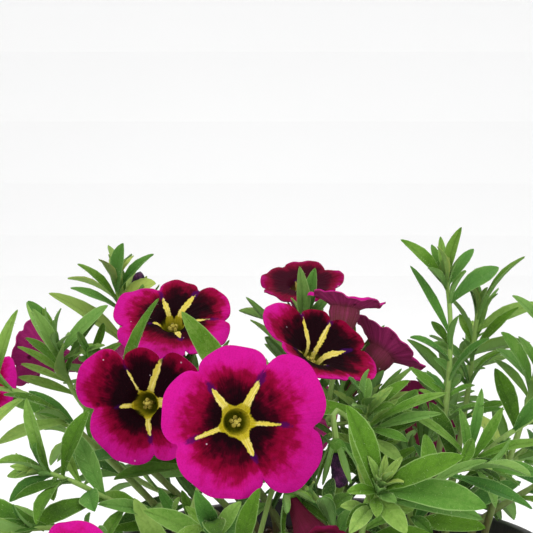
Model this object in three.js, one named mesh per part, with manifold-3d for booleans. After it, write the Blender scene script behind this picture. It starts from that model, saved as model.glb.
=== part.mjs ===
// A calibrachoa in bloom, in a round nursery pot.
// Millimetres, +Z up. The origin is the middle of the pot's flat underside, and -Y is the front.
//
// The plant is a bush of leafy stems that stand in holes in the soil. Each leafy stem is one
// body: the stem, its leaves, and the stalk and green calyx of each flower that it carries.
// Each flower is a body of its own, seated in its calyx with a small gap.
import * as THREE from 'three';
import { mergeVertices } from 'three/addons/utils/BufferGeometryUtils.js';
import Module from 'manifold-3d';

const wasm = await Module();
wasm.setup();

// ---------------------------------------------------------------- driving dimensions

const GAP = 0.3; // between two pieces that touch in the real thing

const POT_HEIGHT = 90;
const POT_RIM_RADIUS = 52.5;
const POT_FOOT_RADIUS = 37;
const POT_WALL = 1.4;
const POT_FLOOR = 1.8;
const RIM_BAND = 10; // height of the stiffer band under the rim
const RIM_STEP = 2; // how far the band stands out from the wall
const ROUND_STEPS = 24; // sides of the pot and of the soil
const DRAIN_HOLES = 5;
const DRAIN_RADIUS = 3.5;
const DRAIN_RING = 27;

const SOIL_TOP = 84;
const SOIL_RISE = 1; // of its middle
const SOIL_BUMP = 0.5; // height of its waves
const SOIL_GAP = 1.3 * GAP; // to the pot's wall, from corner to corner
const HOLE_DEPTH = 8; // of the holes that the stems stand in
const HOLE_RADIUS = 2;

const STEM_RADIUS = 1.1; // to the corners of its three-sided section
const STEM_STEPS = 6; // straight stretches of a stem
const STALK_RADIUS = 0.7; // of a flower's own stalk, likewise
const BLADE_THICKNESS = 0.9; // of a leaf along its midrib
const BLADE_ARCH = 0.07; // rise of a leaf's middle, as a share of its length
const LEAF_CLEARANCE = 0.35; // that a leaf keeps to the other stems and flowers
const LEAF_ROOT = 0.06; // the share of a leaf at its root that needs no such clearance
const LEAF_HEEL = 0.3; // the share of it that may cross the leaves beside it

const TUBE_LENGTH = 14; // of a flower, from its throat back to its calyx
const TUBE_FOOT_RADIUS = 1.25;
const TUBE_NECK_RADIUS = 3.6;
const THROAT_RADIUS = 3;
const PETAL_THICKNESS = 0.8;
const PETAL_NOTCH = 0.76; // how far a seam reaches, as a share of the shorter petal beside it
const PETAL_ROUNDING = 0.1; // how much farther a petal reaches at its middle than beside its seams
const PETAL_WAVE = 0.9; // how far a petal's middle stands forward of its seams
const NECK_DEPTH = 2.5; // of the tube's widest part, behind the throat
const THROAT_DEPTH = 8.4; // of the hollow in the tube
const ANTHER_RADIUS = 1;
const ANTHER_COUNT = 4;
const ANTHER_RING = 0.6; // how far the anthers stand from the flower's axis
const ANTHER_STEP = 0.2; // how much farther forward each one is than the one before
const ANTHER_DEPTH = 1.8; // behind the throat
const COLUMN_DEPTH = 6.3; // of the foot of their column
const COLUMN_RADIUS = 0.35;
const CALYX_HEIGHT = 2.4; // of the solid part under the flower
const CALYX_RADIUS = 2.1;
const CALYX_WALL = 0.5;
const STALK_LEAD = 6; // how far below its calyx a stalk already runs the flower's way
const SEPAL_REACH = 7.6; // how far the calyx's five points stand forward of its seat
const SEPAL_SPREAD = 5.2; // and how far from the flower's axis
const SEPAL_THICKNESS = 0.6;

const FINEST_EDGE = 0.01;
const GOLDEN_ANGLE = THREE.MathUtils.degToRad(137.5);

// The leaves that a rule adds: where they are on their stem, as a share of its height, how far
// they open from it in radians, and how long they are. The tuft's are young.
const FILL_LEAVES = { at: [0.36, 0.92], opening: [0.95, 1.35], length: [15, 21] };
const TUFT_LEAVES = { at: [0.97, 0.97], opening: [0.3, 0.8], length: [7, 11] };

// The other leaves turn their upper faces by `share` from the way their stem grows to the light,
// which comes from above and from the side that a leaf's tip is on: the front, or the back.
const LIGHT = { lean: 0.9, rise: 0.6, share: 0.62, frontTo: 22 };

// ---------------------------------------------------------------- the plan of the plant

// A leafy stem stands at `foot` in the soil and passes through the points of `way`.
// A row of `leaves` is how far up the stem the leaf grows, its tip, and its width.
// `fill` leaves more are spread along the stem by rule, and `tuft` small ones at its top.
const STEMS = {
  stem_top_left: {
    foot: [-17, 13],
    way: [[-47, 21, 129], [-49, 21, 138], [-51, 20, 147], [-51, 20, 153]],
    fill: 2,
    tuft: 1,
    leaves: [
      [0.94, -49, 13, 161, 3.8], [0.95, -54, 29, 159, 2.2], [0.96, -54, 12, 158, 1.8],
      [0.92, -60, 13, 156, 2.0], [0.93, -64, 27, 151, 2.0], [0.90, -62, 15, 150, 1.8],
      [0.98, -48, 27, 157, 1.8], [0.95, -42, 17, 158, 2.0], [0.89, -43, 30, 153, 2.2],
      [0.79, -68, 21, 148, 2.8],
    ],
  },
  stem_left: {
    foot: [-27, 3],
    way: [[-58, -4, 126], [-61, -8, 134], [-62, -10, 140], [-64, -10, 144]],
    fill: 2,
    tuft: 1,
    leaves: [
      [0.87, -67, -16, 149, 3.2], [0.86, -71, 1, 140, 1.8], [0.84, -71, -13, 140, 1.8],
      [0.82, -72, 0, 134, 1.6], [0.91, -61, -16, 145, 1.6], [0.82, -60, -17, 141, 5.0],
      [0.87, -57, -2, 138, 1.6], [0.85, -53, -12, 146, 2.0], [0.87, -71, 4, 148, 2.4],
    ],
  },
  stem_far_left: {
    foot: [-33, -6],
    way: [[-55, -18, 120], [-64, -22, 129], [-71, -24, 132], [-77, -26, 133]],
    fill: 4,
    tuft: 2,
    leaves: [
      [0.73, -71, -35, 133, 2.8], [0.73, -64, -31, 129, 2.2], [0.70, -67, -29, 132, 2.2],
      [0.73, -75, -13, 129, 2.8], [0.68, -68, -8, 126, 2.8], [0.96, -69, -25, 150, 2.4],
    ],
  },
  stem_low_left: {
    foot: [-20, -20],
    way: [[-35, -35, 105], [-47, -41, 111], [-55, -44, 116], [-62, -46, 119]],
    fill: 3,
    tuft: 1,
    leaves: [
      [0.98, -69, -57, 123, 4.0], [0.97, -68, -41, 120, 1.8], [0.98, -70, -38, 116, 2.0],
      [0.98, -62, -52, 126, 2.0], [0.90, -66, -55, 115, 3.2], [0.96, -68, -53, 113, 3.4],
      [0.95, -59, -52, 113, 2.2], [0.84, -50, -53, 112, 4.5],
      [0.79, -55, -38, 125, 4.5], [0.87, -58, -39, 123, 1.8], [0.58, -50, -47, 112, 2.8],
      [0.52, -38, -36, 113, 2.0], [0.51, -49, -42, 105, 2.2], [0.53, -33, -45, 113, 3.0],
      [0.97, -64, -50, 135, 3.6], [0.93, -52, -42, 131, 4.2], [0.78, -63, -57, 109, 4.8],
    ],
  },
  stem_bottom_left: {
    foot: [-27, -28],
    way: [[-46, -45, 99], [-52, -50, 106], [-58, -55, 109], [-64, -60, 110]],
    fill: 4,
    tuft: 2,
    leaves: [
      [0.75, -62, -66, 107, 3.8], [0.86, -71, -43, 110, 4.2], [0.93, -73, -67, 112, 3.2],
      [0.88, -58, -66, 102, 3.4],
    ],
  },
  stem_bottom: {
    foot: [-9, -36],
    way: [[-22, -47, 100], [-26, -54, 109], [-27, -56, 114]],
    fill: 5,
    tuft: 0,
    leaves: [
      [0.80, -29, -64, 119, 4.0], [0.84, -34, -42, 107, 3.2], [0.82, -20, -61, 115, 3.4],
      [0.84, -33, -65, 108, 2.8], [0.78, -36, -60, 104, 3.6],
    ],
  },
  stem_centre_low: {
    foot: [4, -34],
    way: [[2, -43, 99], [-3, -48, 111], [-6, -51, 116]],
    fill: 2,
    tuft: 0,
    leaves: [
      [0.83, -11, -57, 108, 2.4], [0.77, -14, -50, 116, 3.4], [0.74, -8, -57, 117, 2.8],
      [0.83, -1, -40, 116, 2.2], [0.83, 3, -38, 112, 2.8], [0.92, -9, -51, 115, 1.8],
      [0.69, 3, -50, 112, 3.2],
    ],
  },
  stem_rosette: {
    foot: [13, -28],
    way: [[5, -46, 105], [7, -54, 114], [8, -57, 118]],
    fill: 3,
    tuft: 1,
    leaves: [
      [0.96, 1, -58, 135, 5.0], [0.98, 24, -65, 126, 5.4], [0.97, 29, -62, 115, 6.3],
      [0.93, 29, -56, 111, 4.5], [0.98, 18, -50, 115, 2.4], [0.97, 1, -62, 118, 2.2],
      [0.94, 7, -62, 113, 2.2], [0.96, 11, -62, 116, 2.0], [0.90, 1, -62, 111, 3.8],
      [0.94, 13, -63, 110, 4.2],
    ],
  },
  stem_right_tall: {
    foot: [21, 3],
    way: [[25, -2, 113], [27, 0, 125], [28, 2, 137], [28, 4, 146], [27, 4, 154]],
    fill: 2,
    tuft: 1,
    leaves: [
      [0.96, 16, 0, 163, 2.8], [0.82, 19, 9, 156, 2.2], [0.98, 30, -1, 166, 3.0],
      [0.97, 34, 9, 160, 2.4], [0.98, 24, 9, 161, 1.8], [0.98, 24, -2, 162, 1.8],
      [0.98, 26, 8, 163, 1.6], [0.96, 22, 7, 158, 1.8], [0.92, 31, -2, 156, 4.0],
      [0.69, 36, -7, 141, 2.4], [0.75, 18, -5, 141, 2.4], [0.79, 24, 7, 143, 1.8],
      [0.66, 21, 6, 131, 2.0], [0.78, 29, -5, 146, 2.2],
    ],
  },
  stem_right_second: {
    foot: [28, 10],
    way: [[32, 12, 116], [34, 14, 128], [35, 15, 137], [36, 15, 145]],
    fill: 4,
    tuft: 1,
    leaves: [
      [0.96, 45, 1, 159, 2.4], [0.84, 42, 24, 149, 2.2], [0.86, 39, 20, 149, 2.0],
      [0.84, 45, 10, 146, 3.2], [0.87, 32, 20, 143, 2.0], [0.81, 47, 22, 133, 2.2],
      [0.74, 40, 5, 136, 2.2],
    ],
  },
  stem_right_low: {
    foot: [26, -9],
    way: [[28, -14, 112], [33, -15, 115], [38, -14, 119], [45, -12, 123], [52, -10, 126]],
    fill: 4,
    tuft: 2,
    leaves: [
      [0.62, 14, -18, 127, 2.0], [0.63, 47, -22, 120, 2.0], [0.55, 36, -20, 115, 2.2],
      [0.65, 48, -21, 109, 2.4], [0.58, 26, -10, 117, 1.8], [0.60, 34, -10, 130, 2.0],
      [0.62, 38, -17, 127, 2.0], [0.60, 28, -18, 127, 2.0], [0.93, 57, -2, 130, 2.2],
      [0.96, 57, -21, 127, 2.2],
    ],
  },
  stem_far_right: {
    foot: [36, 1],
    way: [[44, 0, 118], [47, 2, 127], [49, 3, 137], [50, 3, 144]],
    fill: 5,
    tuft: 1,
    leaves: [
      [0.96, 42, 0, 150, 2.4], [0.75, 39, -4, 142, 6.0], [0.60, 39, 6, 132, 4.5],
      [0.83, 45, 10, 139, 2.0], [0.95, 55, 13, 150, 2.4], [0.89, 55, -7, 143, 2.4],
      [0.79, 54, -8, 136, 2.4],
    ],
  },
  stem_centre_right: {
    foot: [13, -13],
    way: [[9, -16, 113], [8, -18, 122], [6, -18, 130]],
    fill: 4,
    tuft: 1,
    leaves: [
      [0.89, 13, -27, 129, 2.8], [0.94, 9, -27, 131, 2.8], [0.85, 16, -27, 121, 2.4],
      [0.93, 8, -10, 133, 2.4], [0.90, 17, -17, 133, 3.2], [0.86, 25, -18, 131, 2.2],
      [0.84, 24, -20, 126, 2.2], [0.78, 19, -17, 124, 2.2], [0.81, 15, -24, 116, 2.4],
      [0.95, 3, -25, 135, 2.2],
    ],
  },
  stem_lower_right: {
    foot: [22, -21],
    way: [[16, -35, 109], [21, -36, 114], [27, -36, 117], [33, -36, 117]],
    fill: 4,
    tuft: 2,
    leaves: [
      [0.74, 31, -46, 121, 3.2], [0.94, 34, -43, 116, 2.0], [0.84, 41, -43, 110, 3.8],
      [0.94, 45, -28, 114, 2.8], [0.88, 30, -28, 122, 2.4],
    ],
  },
  stem_centre_back: {
    foot: [-4, 17],
    way: [[-7, 22, 124], [-6, 23, 134], [-6, 24, 141]],
    fill: 3,
    tuft: 1,
    leaves: [
      [0.96, -7, 17, 155, 2.8], [0.97, -3, 19, 154, 2.8], [0.82, -20, 22, 147, 2.2],
      [0.82, -19, 25, 141, 2.0], [0.80, -10, 14, 137, 2.8], [0.96, 1, 18, 147, 3.0],
    ],
  },
  stem_mid_left: {
    foot: [-15, -10],
    way: [[-29, -11, 108], [-40, -8, 118], [-50, -6, 126]],
    fill: 5,
    tuft: 1,
    leaves: [
      [0.97, -39, -13, 151, 4.4], [0.80, -46, 4, 128, 2.8], [0.85, -30, -4, 134, 3.2],
      [0.70, -58, -28, 116, 4.8],
    ],
  },
  stem_upper_left: {
    foot: [-10, 5],
    way: [[-26, 16, 112], [-33, 19, 121], [-36, 21, 128]],
    fill: 2,
    tuft: 2,
    leaves: [
      [0.86, -40, 6, 148, 2.8], [0.88, -29, 4, 143, 4.6], [0.80, -24, 25, 136, 3.2],
      [0.76, -43, 28, 132, 3.0],
    ],
  },
  stem_upper_mid: {
    foot: [0, 0],
    way: [[-8, -2, 108], [-15, -6, 117], [-20, -8, 124]],
    fill: 2,
    tuft: 1,
    leaves: [[0.97, -34, -13, 148, 5.4], [0.80, -15, 2, 135, 3.0]],
  },
  stem_back_right: {
    foot: [12, 8],
    way: [[10, 13, 108], [9, 15, 116], [10, 18, 122]],
    fill: 3,
    tuft: 2,
    leaves: [[0.85, 20, 8, 132, 3.4], [0.80, 18, 26, 130, 3.0], [0.75, 14, 2, 124, 3.0]],
  },
  stem_top_right: {
    foot: [5, 21],
    way: [[4, 24, 110], [4, 25, 122], [5, 26, 130]],
    fill: 3,
    tuft: 2,
    leaves: [[0.92, 10, 18, 143, 2.6], [0.85, 9, 34, 140, 2.8], [0.80, 15, 24, 138, 2.6]],
  },
  stem_back_left: {
    foot: [-13, 28],
    way: [[-28, 42, 108], [-36, 46, 122], [-42, 48, 133]],
    fill: 7,
    tuft: 2,
    leaves: [],
  },
  stem_back_middle: {
    foot: [-2, 34],
    way: [[-5, 50, 108], [-7, 56, 121], [-8, 58, 132]],
    fill: 7,
    tuft: 2,
    leaves: [],
  },
  stem_back_far_right: {
    foot: [14, 29],
    way: [[26, 42, 106], [33, 49, 121], [38, 52, 132]],
    fill: 6,
    tuft: 2,
    leaves: [],
  },
  stem_back_low_left: {
    foot: [-25, 21],
    way: [[-46, 30, 99], [-58, 33, 107], [-67, 35, 112]],
    fill: 7,
    tuft: 2,
    leaves: [],
  },
  stem_back_low_right: {
    foot: [25, 22],
    way: [[44, 33, 100], [53, 38, 108], [60, 41, 115]],
    fill: 7,
    tuft: 2,
    leaves: [],
  },
  stem_right_back: {
    foot: [35, 13],
    way: [[54, 16, 104], [63, 17, 113], [69, 17, 123]],
    fill: 7,
    tuft: 2,
    leaves: [],
  },
};

// A flower grows on `stem`, from the point `from` up it. `throat` is the middle of its mouth and
// `facing` the way it looks. `seams` are the angles between its petals, anticlockwise from its
// right as it is looked at, and `lobes` the length of the petal that follows each seam,
// as a share of `radius`. `cup` is how far its edge stands forward of the throat.
const EVEN_SEAMS = [126, 54, -18, -90, -162];
const EVEN_LOBES = [1, 1, 1, 1, 1];
const BLOOMS = {
  bloom_front: {
    stem: 'stem_low_left', from: 0.5, throat: [-21, -45, 129], facing: [0.19, -0.96, 0.17],
    radius: 17.4, cup: 1.5, petalSteps: 4,
    seams: [127, 60, -6, -67, -161], lobes: [0.91, 1.11, 1.1, 0.93, 0.94],
  },
  bloom_left: {
    stem: 'stem_mid_left', from: 0.9, throat: [-41.6, -25, 129], facing: [-0.3, -0.93, 0.1],
    radius: 15.5, cup: 1.5, petalSteps: 4,
    seams: [118, 68, 10, -75, -172], lobes: [0.8, 0.95, 0.9, 0.88, 1.06],
  },
  bloom_upper_left: {
    stem: 'stem_upper_left', from: 0.9, throat: [-37, 6, 143], facing: [0, -0.56, 0.83],
    radius: 14.5, cup: 1, petalSteps: 4,
    seams: [109, 60, 1, -72, -170], lobes: [0.95, 1, 1, 1, 1],
  },
  bloom_upper_right: {
    stem: 'stem_upper_mid', from: 0.9, throat: [-4, -6, 137], facing: [0.43, -0.42, 0.8],
    radius: 14.2, cup: 3.5, petalSteps: 4,
    seams: [75, 35, -15, -85, 165], lobes: [0.9, 1, 1.02, 0.88, 1.06],
  },
  bloom_right_back: {
    stem: 'stem_back_right', from: 0.9, throat: [13.7, 24, 133], facing: [0.62, 0.3, 0.72],
    radius: 10.5, cup: 3, petalSteps: 3, seams: EVEN_SEAMS, lobes: EVEN_LOBES,
  },
  bloom_top_back: {
    stem: 'stem_centre_back', from: 0.85, throat: [-6, 39, 148], facing: [-0.05, -0.37, 0.93],
    radius: 10.8, cup: 1, petalSteps: 3, seams: EVEN_SEAMS, lobes: EVEN_LOBES,
  },
  bloom_trumpet: {
    stem: 'stem_top_right', from: 0.85, throat: [4, 15, 145.5], facing: [0.17, 0.22, 0.96],
    radius: 9.5, cup: 2, petalSteps: 3, seams: EVEN_SEAMS, lobes: EVEN_LOBES,
  },
  bloom_far_left: {
    stem: 'stem_far_left', from: 0.75, throat: [-82.4, -12, 132], facing: [-0.35, -0.9, 0.25],
    radius: 13, cup: 1, petalSteps: 3, seams: [108, 36, -36, -108, 180], lobes: EVEN_LOBES,
  },
  bloom_old_left: {
    stem: 'stem_left', from: 0.75, throat: [-67.5, 6, 135], facing: [-0.9, 0.35, 0.15],
    radius: 8.5, cup: 4, petalSteps: 3, seams: EVEN_SEAMS, lobes: EVEN_LOBES,
  },
  bloom_low_left: {
    stem: 'stem_bottom_left', from: 0.7, throat: [-52, -66, 102], facing: [-0.15, -0.95, -0.1],
    radius: 12, cup: 1, petalSteps: 3, seams: EVEN_SEAMS, lobes: EVEN_LOBES,
  },
  bloom_low_centre: {
    stem: 'stem_bottom', from: 0.55, throat: [-5, -58, 106.5], facing: [0.3, -0.8, -0.4],
    radius: 7, cup: 3, petalSteps: 3, seams: EVEN_SEAMS, lobes: EVEN_LOBES,
  },
  bloom_behind_left: {
    stem: 'stem_back_left', from: 0.7, throat: [-50, 62, 117], facing: [-0.3, 0.9, 0.2],
    radius: 15, cup: 1, petalSteps: 3, seams: EVEN_SEAMS, lobes: EVEN_LOBES,
  },
  bloom_behind_middle: {
    stem: 'stem_back_middle', from: 0.6, throat: [-10, 72, 108], facing: [0, 0.97, 0.15],
    radius: 15, cup: 1, petalSteps: 3, seams: EVEN_SEAMS, lobes: EVEN_LOBES,
  },
  bloom_behind_right: {
    stem: 'stem_back_far_right', from: 0.55, throat: [24, 66, 105], facing: [0.35, 0.9, 0.15],
    radius: 14, cup: 1, petalSteps: 3, seams: EVEN_SEAMS, lobes: EVEN_LOBES,
  },
  bloom_low_behind: {
    stem: 'stem_back_low_right', from: 0.8, throat: [66, 52, 104], facing: [0.85, 0.5, 0.1],
    radius: 14, cup: 1, petalSteps: 3, seams: EVEN_SEAMS, lobes: EVEN_LOBES,
  },
  bloom_right_side: {
    stem: 'stem_right_back', from: 0.8, throat: [78, 6, 121], facing: [0.85, -0.45, 0.3],
    radius: 14, cup: 1, petalSteps: 3, seams: EVEN_SEAMS, lobes: EVEN_LOBES,
  },
};

// Closed or withered flowers, given as the open ones are. `length` is that of the closed petals
// from their foot, and `ragged` how unevenly they are crumpled. With no length only the green
// calyx is left.
const BUDS = {
  bud_top_left: {
    stem: 'stem_top_left', from: 0.88, throat: [-44, 21, 158], facing: [0.3, -0.1, 0.95],
    length: 9, radius: 1.5, ragged: 0,
  },
  bud_withered_front: {
    stem: 'stem_centre_right', from: 0.8, throat: [1, -33, 106], facing: [0.05, -0.25, -0.97],
    length: 8, radius: 1.9, ragged: 0.7,
  },
  calyx_spent_left: {
    stem: 'stem_left', from: 0.8, throat: [-51, -25, 144], facing: [0.2, -0.9, 0.4],
  },
};

// ---------------------------------------------------------------- small tools

const vector = (list) => new THREE.Vector3(...list);
const unit = (list) => vector(list).normalize();
const along = (start, way, distance) => start.clone().addScaledVector(way, distance);
const between = ([least, most], share) => THREE.MathUtils.lerp(least, most, share);

// A number from 0 to 1 that looks random and is the same on every run.
function draw(seed) {
  const value = Math.sin(seed * 12.9898) * 43758.5453;
  return value - Math.floor(value);
}

// A closed three.js geometry as a solid that can be joined and cut.
function solidOf(geometry) {
  const bare = geometry.clone();
  bare.deleteAttribute('normal');
  bare.deleteAttribute('uv');
  const merged = mergeVertices(bare, 1e-4);
  const solid = new wasm.Manifold(new wasm.Mesh({
    numProp: 3,
    vertProperties: new Float32Array(merged.attributes.position.array),
    triVerts: new Uint32Array(merged.index.array),
  }));
  if (solid.volume() <= 0) throw new Error('a solid is inside out');
  return solid;
}

// One body from many: what stays loose is dropped, a sealed hollow is filled, and slivers too
// fine to be made are smoothed away.
function fuse(solids) {
  const pieces = wasm.Manifold.union(solids).simplify(FINEST_EDGE).decompose();
  pieces.sort((a, b) => b.volume() - a.volume());
  return pieces[0];
}

function meshOf(name, solid, material) {
  const { vertProperties, triVerts } = solid.getMesh();
  const geometry = new THREE.BufferGeometry();
  geometry.setAttribute('position', new THREE.BufferAttribute(new Float32Array(vertProperties), 3));
  geometry.setIndex(new THREE.BufferAttribute(new Uint32Array(triVerts), 1));
  geometry.computeVertexNormals();
  const mesh = new THREE.Mesh(geometry, material);
  mesh.name = name;
  return mesh;
}

// A closed skin over rings of as many points each, with a pole at both ends.
// Seen along the way from the first ring to the last, each ring's points run clockwise.
function skin(firstPole, rings, lastPole) {
  const count = rings[0].length;
  const points = [firstPole, ...rings.flat(), lastPole];
  const last = points.length - 1;
  const at = (ring, column) => 1 + ring * count + (column % count);
  const index = [];
  for (let column = 0; column < count; column += 1) {
    index.push(0, at(0, column + 1), at(0, column));
    for (let ring = 0; ring < rings.length - 1; ring += 1) {
      const a = at(ring, column);
      const b = at(ring, column + 1);
      const c = at(ring + 1, column + 1);
      const d = at(ring + 1, column);
      index.push(a, b, c, a, c, d);
    }
    index.push(at(rings.length - 1, column), at(rings.length - 1, column + 1), last);
  }
  const geometry = new THREE.BufferGeometry().setFromPoints(points);
  geometry.setIndex(index);
  return solidOf(geometry);
}

function reach(solid) {
  const { min, max } = solid.boundingBox();
  return new THREE.Box3(vector([...min]), vector([...max]));
}

// ---------------------------------------------------------------- leaves and stems

// The two ways of a leaf across it: to its side, and up from its upper face, which looks as
// nearly as it can the way of `face`.
function leafWays(root, tip, face) {
  const ahead = tip.clone().sub(root).normalize();
  const side = ahead.clone().cross(face);
  if (side.length() < 0.05) side.copy(ahead).cross(unit([0, 1, 0]));
  side.normalize();
  return { side, up: side.clone().cross(ahead) };
}

// A leaf's half width along it, as a share of its widest.
const LEAF_OUTLINE = [[0, 0.3], [0.32, 0.8], [0.66, 0.95]];
const YOUNG_LEAF_OUTLINE = [[0, 0.3], [0.5, 1]];
const NARROW_LEAF = 3; // a leaf narrower than this has the young outline
const NECK = 1.4; // how far from its stem's axis a leaf's neck is

// A leaf from root to tip, arched along its length and keeled below. `swell` makes it fatter
// all round, and `bare` leaves out that share of it at its root.
function leaf({ stem, tip, width, face, outline }, swell = 0, bare = 0) {
  const { side, up } = leafWays(stem, tip, face);
  const length = stem.distanceTo(tip);
  const middle = (share) => stem.clone().lerp(tip, share)
    .addScaledVector(up, 4 * BLADE_ARCH * length * share * (1 - share));
  const rings = outline.map(([share, breadth]) => {
    const centre = middle(Math.max(share, bare, Math.min(NECK / length, 0.25)));
    const half = 0.5 * width * breadth + swell;
    const edge = along(centre, up, BLADE_THICKNESS / 3 + swell);
    return [
      along(edge, side, -half),
      along(edge, side, half),
      along(centre, up, -2 * BLADE_THICKNESS / 3 - swell),
    ];
  });
  return skin(middle(bare), rings, tip);
}

// A tube with three sides along a curve.
function tube(curve, radius, steps) {
  const corners = [0, 1, 2].map((corner) => (2 * Math.PI * corner) / 3);
  const section = new THREE.Shape(corners.map((angle) => (
    new THREE.Vector2(radius * Math.cos(angle), radius * Math.sin(angle)))));
  return solidOf(new THREE.ExtrudeGeometry(section, { steps, extrudePath: curve }));
}

function stemCurve({ foot, way }) {
  const points = [
    [...foot, SOIL_TOP - HOLE_DEPTH + GAP],
    [...foot, SOIL_TOP - 0.5 * HOLE_DEPTH],
    [...foot, SOIL_TOP + 7],
    ...way,
  ];
  return new THREE.CatmullRomCurve3(points.map(vector), false, 'centripetal');
}

// The way that the upper face of a leaf with this tip looks, on a stem that grows this way.
function litWay(growth, tip) {
  const side = tip.y < LIGHT.frontTo ? -1 : 1;
  return growth.clone().lerp(unit([0, side * LIGHT.lean, LIGHT.rise]), LIGHT.share).normalize();
}

// The place at a share of a stem's height, on the straight stretch of its tube there, and the
// way that the stem grows there.
function stationOn(curve, at) {
  const points = curve.getSpacedPoints(STEM_STEPS);
  const place = at * STEM_STEPS;
  const below = Math.min(Math.floor(place), STEM_STEPS - 1);
  const stem = points[below].clone().lerp(points[below + 1], place - below);
  const growth = points[below + 1].clone().sub(points[below]).normalize();
  return { stem, growth };
}

// The small leaves that a rule adds: `fill` along the stem, in a spiral, then `tuft` at its top.
function ruleLeaves(curve, { fill, tuft }, stemNumber) {
  const rows = [];
  for (let n = 0; n < fill + tuft; n += 1) {
    const kind = n < fill ? FILL_LEAVES : TUFT_LEAVES;
    const seed = 31 * stemNumber + n;
    const { stem, growth } = stationOn(curve, between(kind.at, n / Math.max(fill - 1, 1)));
    const sideways = growth.clone().cross(unit([0.3, 1, 0.2])).normalize();
    sideways.applyAxisAngle(growth, GOLDEN_ANGLE * n + stemNumber);
    const opening = between(kind.opening, draw(seed));
    const length = between(kind.length, draw(seed + 0.5));
    const tip = along(along(stem, growth, length * Math.cos(opening)),
      sideways, length * Math.sin(opening));
    const face = kind === FILL_LEAVES ? litWay(growth, tip) : growth;
    rows.push({ stem, tip, width: 0.15 * length + 0.9, face, outline: YOUNG_LEAF_OUTLINE });
  }
  return rows;
}

function plannedLeaves(curve, { leaves }) {
  return leaves.map(([at, x, y, z, width]) => {
    const { stem, growth } = stationOn(curve, at);
    const tip = vector([x, y, z]);
    const outline = width < NARROW_LEAF ? YOUNG_LEAF_OUTLINE : LEAF_OUTLINE;
    return { stem, tip, width, face: litWay(growth, tip), outline };
  });
}

// Where a leaf's tip may move, in turn, so that the leaf clears the other stems and flowers.
const DODGES = [
  [0, 0, 0], [0, -4, 0], [0, 4, 0], [0, -8, 0], [0, 8, 0], [0, 0, 4], [0, 0, -4],
  [4, -5, 0], [-4, -5, 0], [4, 5, 0], [-4, 5, 0], [0, -13, 0], [0, 13, 0],
];
const SHORTER = [1, 0.8, 0.6];

// ---------------------------------------------------------------- flowers

// The ways of a flower: forward out of its throat, to its right and up as it is looked at.
function bloomWays(facing) {
  const forward = unit(facing);
  const up = unit([0, 0, 1]).addScaledVector(forward, -forward.z).normalize();
  return { forward, right: up.clone().cross(forward), up };
}

// The foot of a flower's tube, in its calyx.
const tubeFoot = (bloom) => along(vector(bloom.throat), unit(bloom.facing), -TUBE_LENGTH);

// The columns of a flower, anticlockwise round its axis: each one's angle, how far it reaches as
// a share of the radius, and its bulge, from 0 at a seam to 1 at a petal's middle.
function petalColumns({ seams, lobes, petalSteps }) {
  const columns = [];
  seams.forEach((seam, petal) => {
    const next = seams[(petal + 1) % seams.length];
    const span = (((seam - next) % 360) + 360) % 360;
    const before = lobes[(petal + lobes.length - 1) % lobes.length];
    for (let step = 0; step < petalSteps; step += 1) {
      const share = step / petalSteps;
      const bulge = Math.sin(Math.PI * share) ** 0.5;
      const notch = PETAL_NOTCH * Math.min(before, lobes[petal]);
      const lobe = lobes[petal] * (1 - PETAL_ROUNDING * (1 - bulge));
      columns.push({
        angle: THREE.MathUtils.degToRad(seam - span * share),
        reach: step === 0 ? notch : lobe,
        bulge: step === 0 ? 0 : bulge,
      });
    }
  });
  return columns.reverse();
}

// A flower: a tube that opens into five joined petals, with a hollow throat.
function corolla(bloom) {
  const { forward, right, up } = bloomWays(bloom.facing);
  const throat = vector(bloom.throat);
  const columns = petalColumns(bloom);
  const place = (angle, radius, height) => along(throat, forward, height)
    .addScaledVector(right, radius * Math.cos(angle))
    .addScaledVector(up, radius * Math.sin(angle));
  const round = (radius, height) => columns.map(({ angle }) => place(angle, radius, height));
  const limb = (share, lift) => columns.map(({ angle, reach: far, bulge }) => {
    const radius = THREE.MathUtils.lerp(THROAT_RADIUS, bloom.radius * far, share);
    const height = (bloom.cup + PETAL_WAVE * (bulge - 0.5)) * share;
    return place(angle, radius, height + lift);
  });
  const half = 0.5 * PETAL_THICKNESS;
  const rings = [
    round(TUBE_FOOT_RADIUS, -TUBE_LENGTH),
    round(TUBE_NECK_RADIUS, -NECK_DEPTH),
    limb(1, -half),
    limb(1, half),
    limb(0.5, half),
    round(THROAT_RADIUS, 0),
  ];
  return skin(along(throat, forward, -TUBE_LENGTH), rings, along(throat, forward, -THROAT_DEPTH));
}

// A closed or withered flower, standing in its calyx.
function bud({ throat, facing, length, radius, ragged }, seed) {
  const { forward, right, up } = bloomWays(facing);
  const foot = tubeFoot({ throat, facing });
  const ring = (size, height, turn) => [0, 1, 2, 3, 4].map((corner) => {
    const angle = (-2 * Math.PI * corner) / 5 + turn;
    const far = size * (1 - ragged * 0.6 * draw(seed + corner + height));
    return along(foot, forward, height)
      .addScaledVector(right, far * Math.cos(angle))
      .addScaledVector(up, far * Math.sin(angle));
  }).reverse();
  return skin(foot, [
    ring(0.8 * TUBE_FOOT_RADIUS, 0, 0),
    ring(0.85 * radius, 0.5 * length, 0.5 * ragged),
    ring(radius, 0.8 * length, ragged),
  ], along(foot, forward, length));
}

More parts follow.
